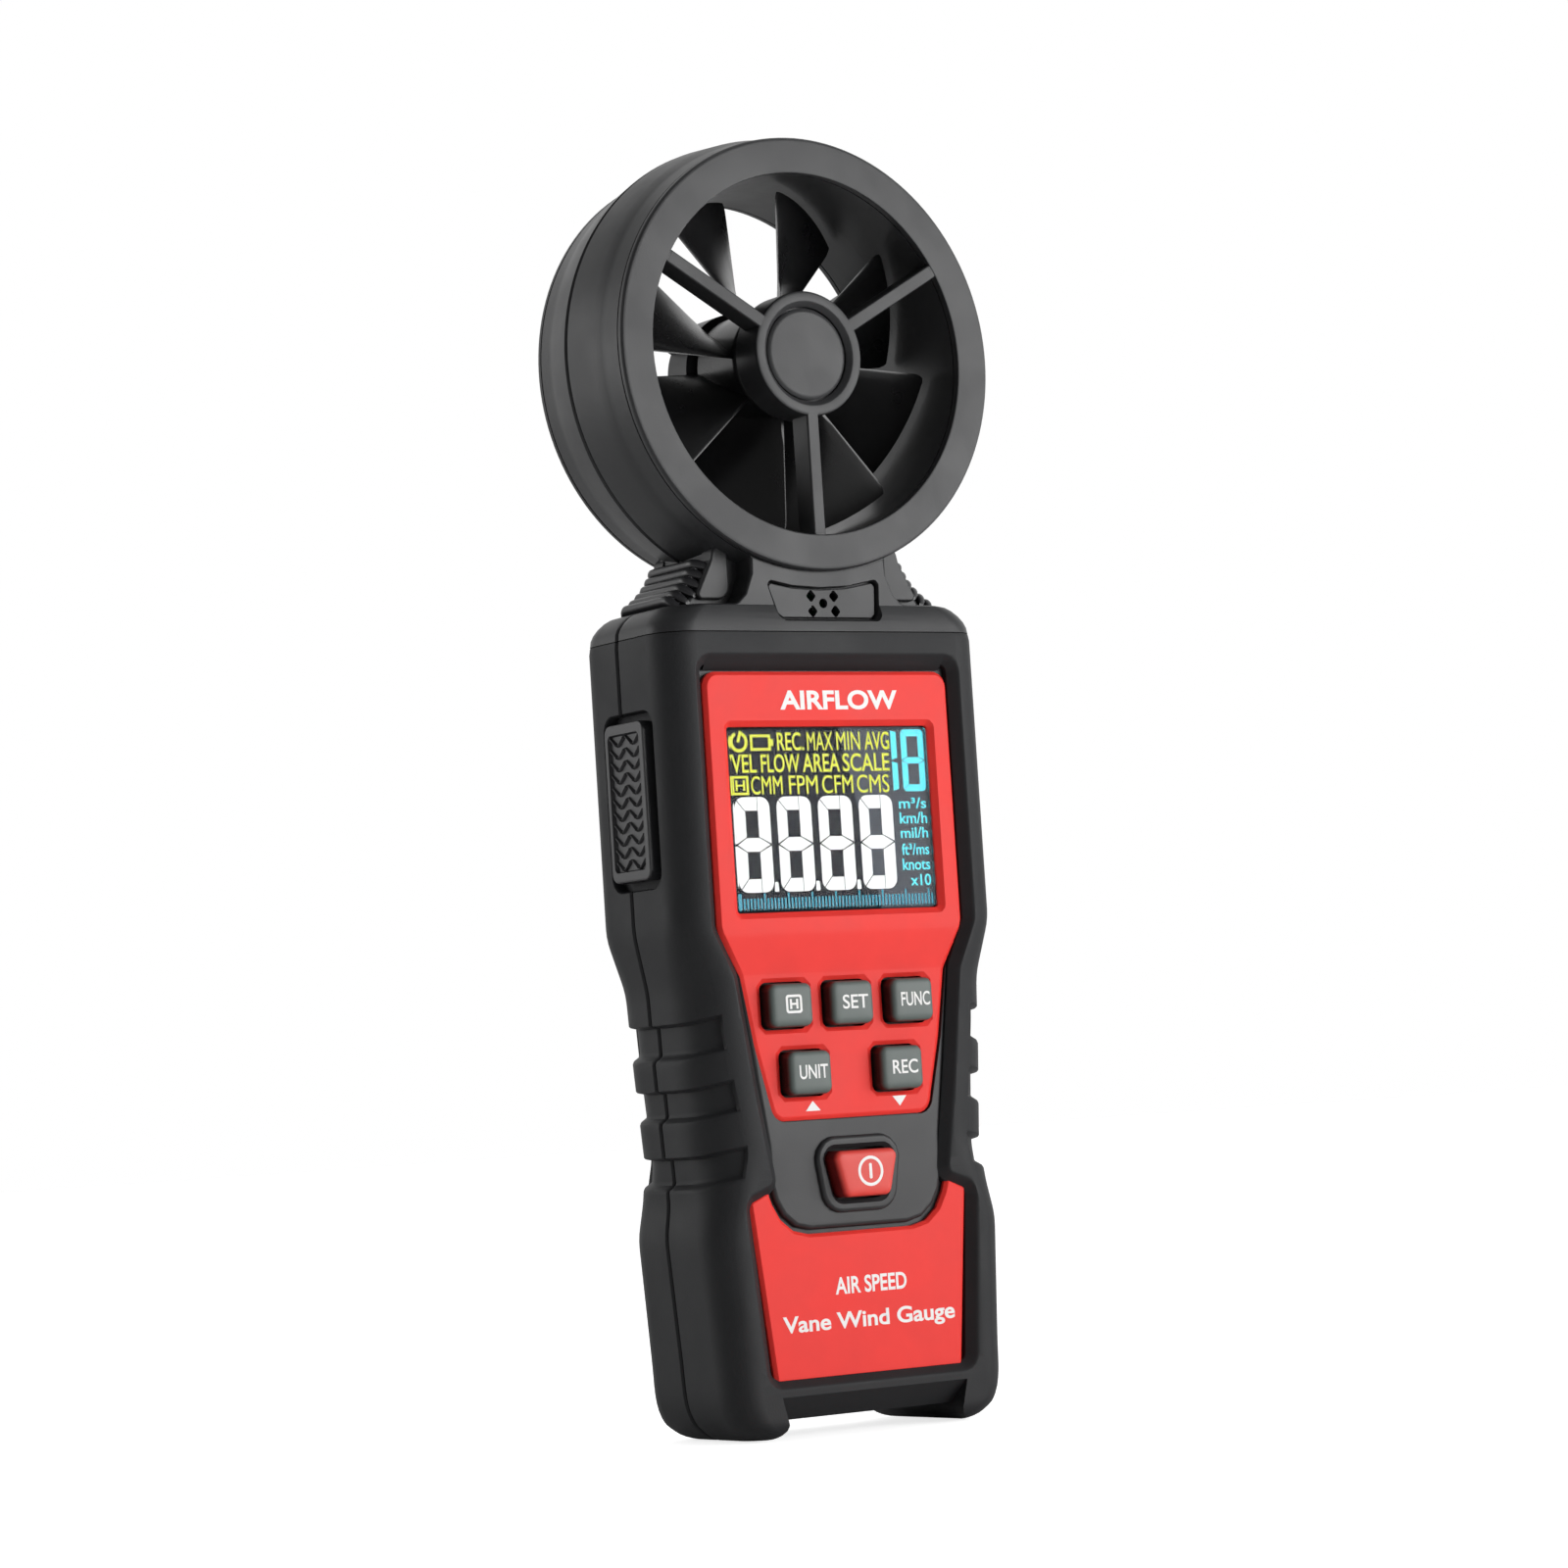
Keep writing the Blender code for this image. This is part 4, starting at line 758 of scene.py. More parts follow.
def stroke(name, points, width, depth, thick=PRINT_THICK):
    """A flat line of even width with square ends, through the points."""
    left, right = [], []
    for i, point in enumerate(points):
        before = Vector(points[max(i - 1, 0)])
        after = Vector(points[min(i + 1, len(points) - 1)])
        run = (after - before).normalized() * width / 2
        left.append((point[0] - run.y, point[1] + run.x))
        right.append((point[0] + run.y, point[1] - run.x))
    return flat_shape(name, left + right[::-1], depth, thick)


def gather(name, items):
    """Join separate closed shapes into one piece."""
    shape = bmesh.new()
    for item in items:
        shape.from_mesh(item.data)
        bpy.data.objects.remove(item)
    return new_piece(name, shape)


def arc(x, z, radius, start, end, steps=24):
    return [(x + radius * math.cos(math.radians(start + (end - start) * i / steps)),
             z + radius * math.sin(math.radians(start + (end - start) * i / steps))) for i in range(steps + 1)]


place(words_on("words_airflow", "AIRFLOW", -9.6, 13.6, 117.15, 120.35, PANEL_FRONT, 0.03), white_ink)
arrows = [flat_shape("arrow", points, KEYPAD_FRONT) for points in (
    [(-9.1, 52.0), (-6.2, 52.0), (-7.66, 53.6)], [(8.05, 53.6), (10.8, 53.6), (9.43, 51.95)])]
place(gather("key_arrows", arrows), white_ink)
place(words_on("words_air_speed", "AIR SPEED", -5.9, 8.1, 22.2, 25.0, PLATE_FRONT, 0.022), white_ink)
place(words_on("words_vane_wind_gauge", "Vane Wind Gauge", -16.4, 17.3, 15.9, 19.4, PLATE_FRONT, 0.022),
      white_ink)

# ---- Display ------------------------------------------------------------------------------
# Behind a clear acrylic window lies a dark liquid crystal glass with a lamp behind it.  Lit
# segments stand a hair in front of the dark glass: white figures, yellow legends, blue units
# and a scale of ticks along the bottom.  A pale patch on the right part of the glass is a painted reflection.
GLASS_FRONT = 2.6
clear_plastic = bpy.data.materials.new("clear_window")
clear_plastic.use_nodes = True
pane = clear_plastic.node_tree.nodes["Principled BSDF"]
for label, value in (("Transmission Weight", 1.0), ("IOR", 1.12), ("Roughness", 0.02), ("Metallic", 0.0)):
    pane.inputs[label].default_value = value
haze = add_node(clear_plastic.node_tree, "ShaderNodeGroup", node_tree=moulded_grain)
haze.inputs["Fineness"].default_value = 300.0
tone = add_node(clear_plastic.node_tree, "ShaderNodeMix", data_type="RGBA")
tone.inputs[6].default_value = (0.97, 0.98, 0.98, 1)
tone.inputs[7].default_value = (1, 1, 1, 1)
clear_plastic.node_tree.links.new(haze.outputs["Cloud"], tone.inputs[0])
clear_plastic.node_tree.links.new(tone.outputs[2], pane.inputs["Base Color"])
window = slab("display_window", rounded(rectangle(0, SCREEN_MIDDLE, 19.35, 14.7), 0.4, 2), 1.45, 2.25, 0.08)
place(window, clear_plastic, stands_for=["lcd_window"])

display_glass = moulded("dark_display_glass", (0.0045, 0.006, 0.011), 0.3, fineness=900.0, relief=0.02,
                        Specular_IOR_Level=0.03)
tree = display_glass.node_tree
# Painted reflection: a pale grey patch is painted on the dark glass right of a slanted edge, standing for the window's
# reflection.
spot = add_node(tree, "ShaderNodeSeparateXYZ")
tree.links.new(add_node(tree, "ShaderNodeTexCoord").outputs["Object"], spot.inputs[0])
REFLECTION_TOP, REFLECTION_FOOT = (2.66, 114.3), (8.96, 84.44)
lean = (REFLECTION_FOOT[0] - REFLECTION_TOP[0]) / (REFLECTION_TOP[1] - REFLECTION_FOOT[1])
leant = add_node(tree, "ShaderNodeMath", {1: lean, 2: -0.001 * (REFLECTION_TOP[0] + lean * REFLECTION_TOP[1])},
                 operation="MULTIPLY_ADD")
across = add_node(tree, "ShaderNodeMath", operation="ADD")
reflection_edge = add_node(tree, "ShaderNodeMapRange", {"From Min": -0.00008, "From Max": 0.00008, "To Max": 1.0})
painted_reflection = add_node(tree, "ShaderNodeMix", data_type="RGBA")
painted_reflection.inputs[7].default_value = (0.075, 0.085, 0.105, 1)
old_tint = next(node for node in tree.nodes if node.bl_idname == "ShaderNodeMix")
for start, end in ((spot.outputs["Z"], leant.inputs[0]), (leant.outputs[0], across.inputs[0]),
                   (spot.outputs["X"], across.inputs[1]), (across.outputs[0], reflection_edge.inputs["Value"]),
                   (reflection_edge.outputs[0], painted_reflection.inputs[0]), (old_tint.outputs[2], painted_reflection.inputs[6]),
                   (painted_reflection.outputs[2], tree.nodes["Principled BSDF"].inputs["Base Color"])):
    tree.links.new(start, end)
glass = slab("display_glass_plate", rounded(rectangle(0, SCREEN_MIDDLE, 19.7, 15.0), 0.3, 2), GLASS_FRONT, 4.3, 0.05)
place(glass, display_glass, stands_for=["lcd_module"])


def lit(name, colour, strength):
    """A lamp lit segment colour, a little uneven like a backlight."""
    material = moulded(name, [part * 0.2 for part in colour], 0.5, fineness=900.0, relief=0.02, cloud=0.02)
    tree = material.node_tree
    shader = tree.nodes["Principled BSDF"]
    uneven = add_node(tree, "ShaderNodeMix", data_type="RGBA")
    uneven.inputs[6].default_value = (*[part * 0.95 for part in colour], 1)
    uneven.inputs[7].default_value = (*colour, 1)
    cloud = next(node for node in tree.nodes if node.bl_idname == "ShaderNodeGroup").outputs["Cloud"]
    tree.links.new(cloud, uneven.inputs[0])
    tree.links.new(uneven.outputs[2], shader.inputs["Emission Color"])
    shader.inputs["Emission Strength"].default_value = strength
    return material


lit_white = lit("lit_white", (0.95, 0.96, 0.96), 0.85)
lit_yellow = lit("lit_yellow", (0.70, 0.74, 0.015), 0.9)
lit_blue = lit("lit_blue", (0.08, 0.78, 0.9), 0.95)
lit_teal = lit("lit_teal", (0.008, 0.29, 0.42), 0.9)
SEGMENT_FRONT = GLASS_FRONT - 0.01


def figure(name, x, low, high, width, left, right, bar, half_middle, corner, gap=0.12):
    """A seven segment figure 8 as separate closed segments with dark mitre lines between."""
    middle = (low + high) / 2
    far = x + width
    upper_left = arc(x + corner, high - corner, corner, 180, 90, 6)
    upper_right = arc(far - corner, high - corner, corner, 90, 0, 6)
    top = [*upper_left[3:], (far - right - gap, high), (far - right - gap, high - bar), (x + left, high - bar)]
    left_side = [(x, middle + gap * 1.4), *[(px - gap, pz - gap) if i == 3 else (px, pz)
                                            for i, (px, pz) in enumerate(upper_left[:4])],
                 (x + left, high - bar - gap * 1.8), (x + left, middle + half_middle + gap)]
    right_side = [(far - right, high), *upper_right, (far, middle + gap * 1.4), (far - right, middle + half_middle + gap)]
    shapes = [top, left_side, right_side]
    shapes += [[(px, low + high - pz) for px, pz in points] for points in shapes]
    shapes.append([(x + gap * 2, middle), (x + left, middle + half_middle - gap * 0.3),
                   (far - right, middle + half_middle - gap * 0.3), (far - gap * 2, middle),
                   (far - right, middle - half_middle + gap * 0.3), (x + left, middle - half_middle + gap * 0.3)])
    return [flat_shape(f"{name}_{i}", points, SEGMENT_FRONT) for i, points in enumerate(shapes)]


digit = gather("white_figures", figure("figure", -18.6, 87.65, 103.15, 6.7, 1.95, 2.3, 2.2, 1.15, 1.7))
repeat(digit, lit_white, 4, step=(8.08, 0, 0))
place(digit, lit_white)
point_mark = flat_shape("decimal_points", rounded([(-11.72, 89.3), (-11.12, 89.3), (-10.98, 87.7), (-11.86, 87.7)], 0.2, 3), SEGMENT_FRONT)
repeat(point_mark, lit_white, 3, step=(8.08, 0, 0))
place(point_mark, lit_white)
channel = figure("channel", 14.85, 103.65, 113.95, 4.55, 1.15, 1.15, 1.15, 0.55, 0.8, 0.07)
channel += [flat_shape("channel_one", [(12.85, low), (12.85, high), (13.95, high - 0.3), (13.95, low + 0.3)],
                       SEGMENT_FRONT) for low, high in ((103.8, 108.65), (108.95, 113.8))]
place(gather("blue_figures", channel), lit_blue)
for row, (word, low_z, high_z) in enumerate((("m\u00b3/s", 100.8, 102.6), ("km/h", 98.3, 100.2), ("mil/h", 95.9, 97.7),
                                            ("ft\u00b3/ms", 93.1, 95.0), ("knots", 90.6, 92.5), ("x10", 88.0, 89.9))):
    low_x = 15.1 if row == 5 else 13.7
    place(words_on(f"blue_unit_{row + 1}", word, low_x, 19.2, low_z, high_z, SEGMENT_FRONT, 0.012), lit_blue)
legends = (("REC.", -9.6, -4.4, 110.65), ("MAX", -3.75, 1.3, 110.65), ("MIN", 2.05, 6.7, 110.65),
           ("AVG", 7.6, 12.5, 110.65), ("VEL", -18.7, -13.9, 107.1), ("FLOW", -13, -5.45, 107.1),
           ("AREA", -4.9, 2.4, 107.1), ("SCALE", 3, 12.3, 107.1), ("CMM", -15.15, -9.1, 103.55),
           ("FPM", -7.8, -2.2, 103.55), ("CFM", -1.3, 4.8, 103.55), ("CMS", 5.6, 12, 103.55))
for word, low_x, high_x, low_z in legends:
    name = "yellow_legend_" + word.strip(".")
    bold = 0.0 if "M" in word else 0.01
    place(words_on(name, word, low_x, high_x, low_z, low_z + 3.0, SEGMENT_FRONT, bold), lit_yellow)
marks = [stroke("power_ring", arc(-17.05, 112.15, 1.45, 115, 425), 0.55, SEGMENT_FRONT),
         stroke("power_bar", [(-17.2, 112.1), (-16.6, 113.9)], 0.5, SEGMENT_FRONT),
         stroke("cell_top", [(-14.85, 113.1), (-10.9, 113.1)], 0.45, SEGMENT_FRONT),
         stroke("cell_foot", [(-14.85, 110.9), (-10.9, 110.9)], 0.45, SEGMENT_FRONT),
         stroke("cell_left", [(-14.62, 111.12), (-14.62, 112.88)], 0.45, SEGMENT_FRONT),
         stroke("cell_right", [(-11.12, 111.12), (-11.12, 112.88)], 0.45, SEGMENT_FRONT),
         flat_shape("cell_nub", rectangle(-10.63, 112.0, 0.26, 0.55), SEGMENT_FRONT)]
hold_box = carve(flat_shape("hold_box", rectangle(-17.25, 105.05, 1.6, 1.55), SEGMENT_FRONT),
                 funnel("hold_box_inside", rectangle(-17.25, 105.05, 1.2, 1.15), ((0, 0), (4, 0))))
place(gather("yellow_marks", marks + [hold_box, words_on("hold_letter", "H", -18.15, -16.35, 104.2, 105.9, SEGMENT_FRONT)]),
      lit_yellow)
tick = flat_shape("scale_ticks", [(-18.66, 84.95), (-18.33, 84.95), (-18.33, 86.7), (-18.66, 86.7)], SEGMENT_FRONT)
place(repeat(tick, lit_teal, 58, step=(0.6614, 0, 0)), lit_teal)
long_tick = flat_shape("scale_long_ticks", [(-18.66, 86.74), (-18.33, 86.74), (-18.33, 87.5), (-18.66, 87.5)], SEGMENT_FRONT)
place(repeat(long_tick, lit_teal, 9, step=(4.63, 0, 0)), lit_teal)

# ---- Keys ---------------------------------------------------------------------------------
# Five grey silicone rubber keys stand in the red keypad and a red one in the case's tongue.
# Each cap has a low dome and a rounded rim; its flanks are painted darker than its printed top, as painted shade.
# A key and its printed legend press straight in together.
KEY_FRONT, KEY_BACK, POWER_FRONT = -0.8, 4.1, -1.85


def key_cap(name, outline, middle, front):
    """A pillow shaped cap: straight flanks, a rounded rim and a nearly flat dome."""
    rings = [[(x, depth, z) for x, z in offset(outline, -inset)] if inset else [(x, depth, z) for x, z in outline]
             for depth, inset in ((KEY_BACK, 0), (2.0, 0), (front + 0.95, 0.02), (front + 0.62, 0.1),
                                  (front + 0.36, 0.26), (front + 0.18, 0.5), (front + 0.09, 0.78))]
    last = rings[-1]
    for depth, share in ((front + 0.035, 0.88), (front + 0.01, 0.72), (front, 0.55), (front, 0.25)):
        rings.append([(middle[0] + (x - middle[0]) * share, depth, middle[1] + (z - middle[1]) * share)
                      for x, _, z in last])
    return loft(name, rings)


def rubber_key(name, top, shaded_flank, front):
    """Silicone with painted shade on its flanks: the colour turns darker over the rim's rounding."""
    material = moulded(name, top, 0.5, fineness=4200.0, relief=0.25, cloud=0.05)
    tree = material.node_tree
    spot = add_node(tree, "ShaderNodeSeparateXYZ")
    tree.links.new(add_node(tree, "ShaderNodeTexCoord").outputs["Object"], spot.inputs[0])
    # Painted shade: past the rim's rounding, deeper back from the cap's face, the colour goes over to the dark flank
    # colour.
    rim = add_node(tree, "ShaderNodeMapRange", {"From Min": RIM + 0.001 * (front + 0.3),
                                                "From Max": RIM + 0.001 * (front + 1.3)})
    painted_shade = add_node(tree, "ShaderNodeMix", data_type="RGBA")
    painted_shade.inputs[7].default_value = (*shaded_flank, 1)
    old = next(node for node in tree.nodes if node.bl_idname == "ShaderNodeMix")
    for start, end in ((spot.outputs["Y"], rim.inputs["Value"]), (rim.outputs[0], painted_shade.inputs[0]),
                       (old.outputs[2], painted_shade.inputs[6]), (painted_shade.outputs[2], tree.nodes["Principled BSDF"].inputs["Base Color"])):
        tree.links.new(start, end)
    return material


# The flank colours are painted shade, not a second colour of silicone.
grey_rubber = rubber_key("grey_key_rubber", (0.105, 0.127, 0.118), (0.006, 0.006, 0.006), KEY_FRONT)
red_rubber = rubber_key("red_key_rubber", (0.72, 0.055, 0.04), (0.16, 0.006, 0.006), POWER_FRONT)
LEGENDS = {"key_set": ("SET", 5.0), "key_func": ("FUNC", 5.7), "key_unit": ("UNIT", 5.5), "key_rec": ("REC", 5.0)}
for key, x, z in KEYS:
    cap = key_cap(key + "_cap", rounded(rectangle(x, z, *KEY_HALF), 1.3), (x, z), KEY_FRONT)
    place(cap, grey_rubber, body=key, stands_for=[key], sharp=50)
    middle = x + 0.3
    if key in LEGENDS:
        word, width = LEGENDS[key]
        legend = words_on(key + "_legend", word, middle - width / 2, middle + width / 2, z - 1.05, z + 1.25,
                          KEY_FRONT + 0.01)
    else:
        frame_edge = rounded(rectangle(middle - 0.1, z + 0.15, 1.55, 1.5), 0.5, 4)
        legend = carve(flat_shape("hold_frame", frame_edge, KEY_FRONT + 0.01),
                       funnel("hold_inside", rounded(rectangle(middle - 0.1, z + 0.15, 1.15, 1.1), 0.2, 2),
                              ((-3, 0), (1, 0))))
        letter = words_on("hold_h", "H", middle - 0.9, middle + 0.7, z - 0.65, z + 0.95, KEY_FRONT + 0.01, 0.03)
        legend = gather(key + "_legend", [legend, letter])
    place(legend, white_ink, body=key)
power_cap = key_cap("power_key_cap", power_outline(0.0), (0, 41.5), POWER_FRONT)
place(power_cap, red_rubber, body="power_key", stands_for=["power_key"], sharp=50)
ring_mark = carve(flat_shape("power_ring_mark", arc(0.4, 41.75, 2.45, 0, 352.5, 47), POWER_FRONT + 0.015),
                  rod("ring_inside", 0.4, 41.75, 1.95, -4, 0, 48))
bar_mark = flat_shape("power_bar_mark", rounded(rectangle(0.4, 41.75, 0.27, 1.25), 0.2, 3), POWER_FRONT + 0.015)
place(gather("power_key_legend", [ring_mark, bar_mark]), white_ink, body="power_key")

# ---- Vane guards --------------------------------------------------------------------------
# A guard snaps into each end of the air duct: a flat bezel ring, three spokes and a hub that
# holds a bearing.  A thin disc is pressed into the hub's face and leaves a shallow dish.
BEZEL_THICK = 1.2
RING_BACK = 27.8
HUB_RADIUS = 10.4
SPOKE_WIDTH, SPOKE_DEPTH = 2.3, 4.5


def bar(name, start, end, half_wide, front, back, edge):
    """A bar standing straight up from the duct's middle, with a rounded front."""
    outline = [(-half_wide, RING_CENTRE + start), (half_wide, RING_CENTRE + start),
               (half_wide, RING_CENTRE + end), (-half_wide, RING_CENTRE + end)]
    return slab(name, outline, front, back, edge)


def guard(name, ring_radius):
    ring = turned(name, [
        (DUCT_RADIUS, BEZEL_THICK), (DUCT_RADIUS, 0.3), (DUCT_RADIUS + 0.1, 0.1), (DUCT_RADIUS + 0.35, 0.0),
        (ring_radius - 0.75, 0.0), (ring_radius - 0.3, 0.12), (ring_radius - 0.06, 0.4), (ring_radius, 0.75),
        (ring_radius, BEZEL_THICK)])
    spokes = bar("spoke", 8.8, DUCT_RADIUS - 0.06, SPOKE_WIDTH / 2, 0.12, SPOKE_DEPTH, 0.3)
    spokes.data.transform(Matrix.Translation((0, 0, RING_CENTRE)) @ Matrix.Rotation(math.radians(-60), 4, "Y")
                          @ Matrix.Translation((0, 0, -RING_CENTRE)))
    repeat(spokes, hard_plastic, 3, turn=(0, math.tau / 3, 0), pivot=(0, 0, RING_CENTRE))
    roots = bar("spoke_root", 26, 31.5, SPOKE_WIDTH / 2 - 0.12, 0.16, 1.1, 0.2)
    roots.data.transform(Matrix.Translation((0, 0, RING_CENTRE)) @ Matrix.Rotation(math.radians(-60), 4, "Y")
                         @ Matrix.Translation((0, 0, -RING_CENTRE)))
    repeat(roots, hard_plastic, 3, turn=(0, math.tau / 3, 0), pivot=(0, 0, RING_CENTRE))
    hub = turned("hub", [
        (2.9, 6.2), (2.9, 3.2), (0.001, 3.2), (0.001, 1.65), (7.85, 1.65), (7.85, 0.85), (8.5, 0.12), (8.8, 0.0),
        (9.9, 0.0), (10.25, 0.15), (HUB_RADIUS, 0.5), (HUB_RADIUS, 6.2)], 96)
    return carve(ring, spokes, hub, roots, operation="UNION")


def hub_disc(name):
    return turned(name, [(0.001, 1.3), (0.001, 0.62), (6.8, 0.64), (7.25, 0.72), (7.6, 0.95), (7.6, 1.3)], 96)


place(guard("front_guard_moulding", 36.0), hard_plastic, stands_for=["front_guard"])
place(hub_disc("front_hub_disc"), hard_plastic, stands_for=["front_hub_cap"])
back_shift = Matrix.Translation((0, BODY_DEPTH - RING_BACK, 0))
for item, node in ((guard("rear_guard_moulding", 35.6), "rear_guard"), (hub_disc("rear_hub_disc"), "rear_hub_cap")):
    item.data.transform(back_shift)
    place(from_behind(item), hard_plastic, stands_for=[node])

# ---- Impeller -----------------------------------------------------------------------------
# The impeller is one thin moulding of black nylon with a hub and eight twisted blades.  It
# is pressed on a steel shaft that turns in the two bearings, and a magnet in the hub is
# counted by the pick-up in the neck.
ROTOR_FRONT, ROTOR_BACK, ROTOR_HUB = 7.6, 20.4, 9.4
BLADE_FRONT, BLADE_BACK, BLADE_TIP = 8.6, 19.6, 28.9
BLADES = 8
BLADE_START, BLADE_TWIST = -2.5, -38.0
impeller_nylon = moulded("black_impeller_nylon", (0.006, 0.006, 0.0065), 0.3, fineness=3000.0, relief=0.12)


def blade(name):
    """A twisted blade drawn by its sections at growing radius, with rounded tip corners."""
    stations = [i / 12 for i in range(13)]
    rings = []
    for radius in (8.4, 11, 14, 17, 20, 23, 26, 27.6, 28.5, BLADE_TIP):
        trim = 0.035 * max((radius - 26) / (BLADE_TIP - 26), 0) ** 3
        thick = 0.95 - 0.4 * (radius - 8.4) / (BLADE_TIP - 8.4)
        ring = []
        for edge, order in ((1, stations), (-1, stations[::-1])):
            for share in order:
                share = trim + (1 - 2 * trim) * share
                depth = BLADE_FRONT + (BLADE_BACK - BLADE_FRONT) * share
                lean = math.atan2(radius * math.radians(-BLADE_TWIST), BLADE_BACK - BLADE_FRONT)
                swell = 0.45 + 0.55 * math.sin(math.pi * min(max(share, 0.0), 1.0)) ** 0.5
                spread = edge * thick * swell / 2 / math.cos(lean) / radius
                turn = math.radians(BLADE_START + BLADE_TWIST * share) + spread
                ring.append((radius * math.cos(turn), depth, RING_CENTRE + radius * math.sin(turn)))
        rings.append(ring)
    shape = loft(name, rings)
    solid = bmesh.new()
    solid.from_mesh(shape.data)
    bmesh.ops.triangulate(solid, faces=solid.faces)
    solid.to_mesh(shape.data)
    solid.free()
    return shape


impeller = turned("impeller_moulding", [
    (1.3, ROTOR_BACK), (1.3, ROTOR_FRONT), (ROTOR_HUB - 1.5, ROTOR_FRONT), (ROTOR_HUB - 0.6, ROTOR_FRONT + 0.3),
    (ROTOR_HUB - 0.1, ROTOR_FRONT + 0.9), (ROTOR_HUB, ROTOR_FRONT + 1.6), (ROTOR_HUB, ROTOR_BACK - 0.8),
    (ROTOR_HUB - 0.8, ROTOR_BACK)], 96)
blades = blade("blades")
repeat(blades, impeller_nylon, BLADES, turn=(0, math.tau / BLADES, 0), pivot=(0, 0, RING_CENTRE))
carve(impeller, blades, operation="UNION")
place(impeller, impeller_nylon, body="rotor", stands_for=["impeller"], sharp=40)

# ---- Battery door -------------------------------------------------------------------------
# The door of the battery case lies flush in the rear cover and lifts straight off once its
# screw is out.  It has a field of finger ribs and a moulded arrow that shows which way is up.
DOOR_SCREW = (0.0, 69.5)
DOOR_FRONT_FACE, DOOR_BACK_FACE = 0.2, 2.3
door = slab("battery_door_moulding", rounded(rectangle(0, DOOR_CENTRE, *DOOR_HALF), 2.7),
            DOOR_FRONT_FACE, DOOR_BACK_FACE, 0.45)
carve(door, rod("door_head_seat", *DOOR_SCREW, 2.6, -1, 1.5), rod("door_shank", *DOOR_SCREW, 1.3, 0, 4, 16),
      funnel("door_seat_mouth", [(2.6 * math.cos(i * 0.19635), DOOR_SCREW[1] + 2.6 * math.sin(i * 0.19635))
                                 for i in range(32)], ((-0.3, 0.75), (0.55, -0.02))))
grip_recess = rounded(rectangle(0, 27.5, 11.0, 7.4), 2.0)
carve(door, funnel("grip_recess", grip_recess, ((-0.5, 0.5), (DOOR_FRONT_FACE, 0.3), (0.8, 0))))
arrow = [(-2.6, 57.5), (2.6, 57.5), (0, 61.5)]
carve(door, funnel("arrow_recess", arrow, ((-0.5, 0.3), (0.2, 0.25), (0.75, 0))))
ribs = slab("grip_ribs", rounded(rectangle(0, 21.8, 9.6, 0.55), 0.5, 4), 0.3, 0.9, 0.25)
repeat(ribs, hard_plastic, 7, step=(0, 0, 1.9))
carve(door, ribs, operation="UNION")
place(from_behind(door), hard_plastic, body="battery_door", stands_for=["battery_door"])

# ---- Screws -------------------------------------------------------------------------------
# Four long self-tapping screws hold the two shells together from behind, and a short one
# holds the battery door.  They are zinc plated steel with pan heads and cross recesses.
zinc = moulded("zinc_plated_steel", (0.55, 0.55, 0.53), 0.28, fineness=1500.0, relief=0.08, cloud=0.08, Metallic=1.0)


def screw(name, x, z, seat, length, head):
    """A pan head screw seen from behind, its head's underside at the seat depth."""
    top = seat - 1.2
    item = turned(name, [
        (0.001, top), (head * 0.55, top + 0.06), (head * 0.82, top + 0.25), (head * 0.96, top + 0.55), (head, top + 0.85),
        (head, seat), (1.0, seat), (1.0, seat + length), (0.001, seat + length + 0.6)], 40, (x, z))
    for wide, high in ((1.45, 0.28), (0.28, 1.45)):
        carve(item, funnel("cross", rectangle(x, z, wide, high), ((top - 1, 0), (top + 0.25, 0), (top + 0.8, -0.12))))
    return from_behind(item)


for index, (x, z) in enumerate([(side * x, z) for x, z in SCREWS for side in (-1, 1)]):
    item = screw(f"case_screw_{index + 1}_zinc", x, z, 2.3, 16, 2.55)
    place(item, zinc, stands_for=[f"case_screw_{index + 1}"])
item = screw("door_screw_zinc", *DOOR_SCREW, 1.4, 5.0, 2.15)
place(item, zinc, body="battery_door", stands_for=["door_screw"])

# ---- Cells --------------------------------------------------------------------------------
# Three AAA cells lie side by side in the tray, the middle one upside down.  Each is a steel
# can in a printed film with a copper coloured band at the plus end, and a nub at the top.
CELL_RADIUS, CELL_LENGTH, CELL_TIP = 5.1, 43.4, 1.0
CELL_PITCH, CELL_DEPTH, CELL_LOW = 11.3, 18.4, 18.1
cell_film = moulded("cell_film", (0.02, 0.03, 0.06), 0.3, fineness=900.0, relief=0.05, Coat_Weight=0.3)
cell_band = moulded("cell_band", (0.55, 0.24, 0.09), 0.3, fineness=900.0, relief=0.05, Metallic=0.6)
cell_steel = moulded("cell_steel", (0.6, 0.6, 0.58), 0.25, relief=0.05, Metallic=1.0)


def cell_part(name, x, upside_down, profile):
    """A turned part of a cell, from (radius, height above its flat end) pairs."""
    rings = []
    for radius, height in profile:
        z = CELL_LOW + (CELL_LENGTH + CELL_TIP - height if upside_down else height)
        rings.append([(x + radius * math.cos(math.tau * i / 48), CELL_DEPTH + radius * math.sin(math.tau * i / 48), z)
                      for i in range(48)])
    return loft(name, rings)


for index in (-1, 0, 1):
    node = f"battery_{index + 2}"
    x, flip = index * CELL_PITCH, index == 0
    place(cell_part(node + "_film", x, flip, [(4.7, 0.05), (5.0, 0.15), (CELL_RADIUS, 0.5), (CELL_RADIUS, 31.95)]),
          cell_film, stands_for=[node])
    place(cell_part(node + "_band", x, flip, [(CELL_RADIUS, 32.0), (CELL_RADIUS, 42.9), (5.0, 43.25), (4.7, 43.35)]),
          cell_band)
    place(cell_part(node + "_nub", x, flip, [(4.6, 43.36), (4.6, 43.4), (1.95, 43.45), (1.9, 44.2), (1.6, 44.38)]),
          cell_steel)

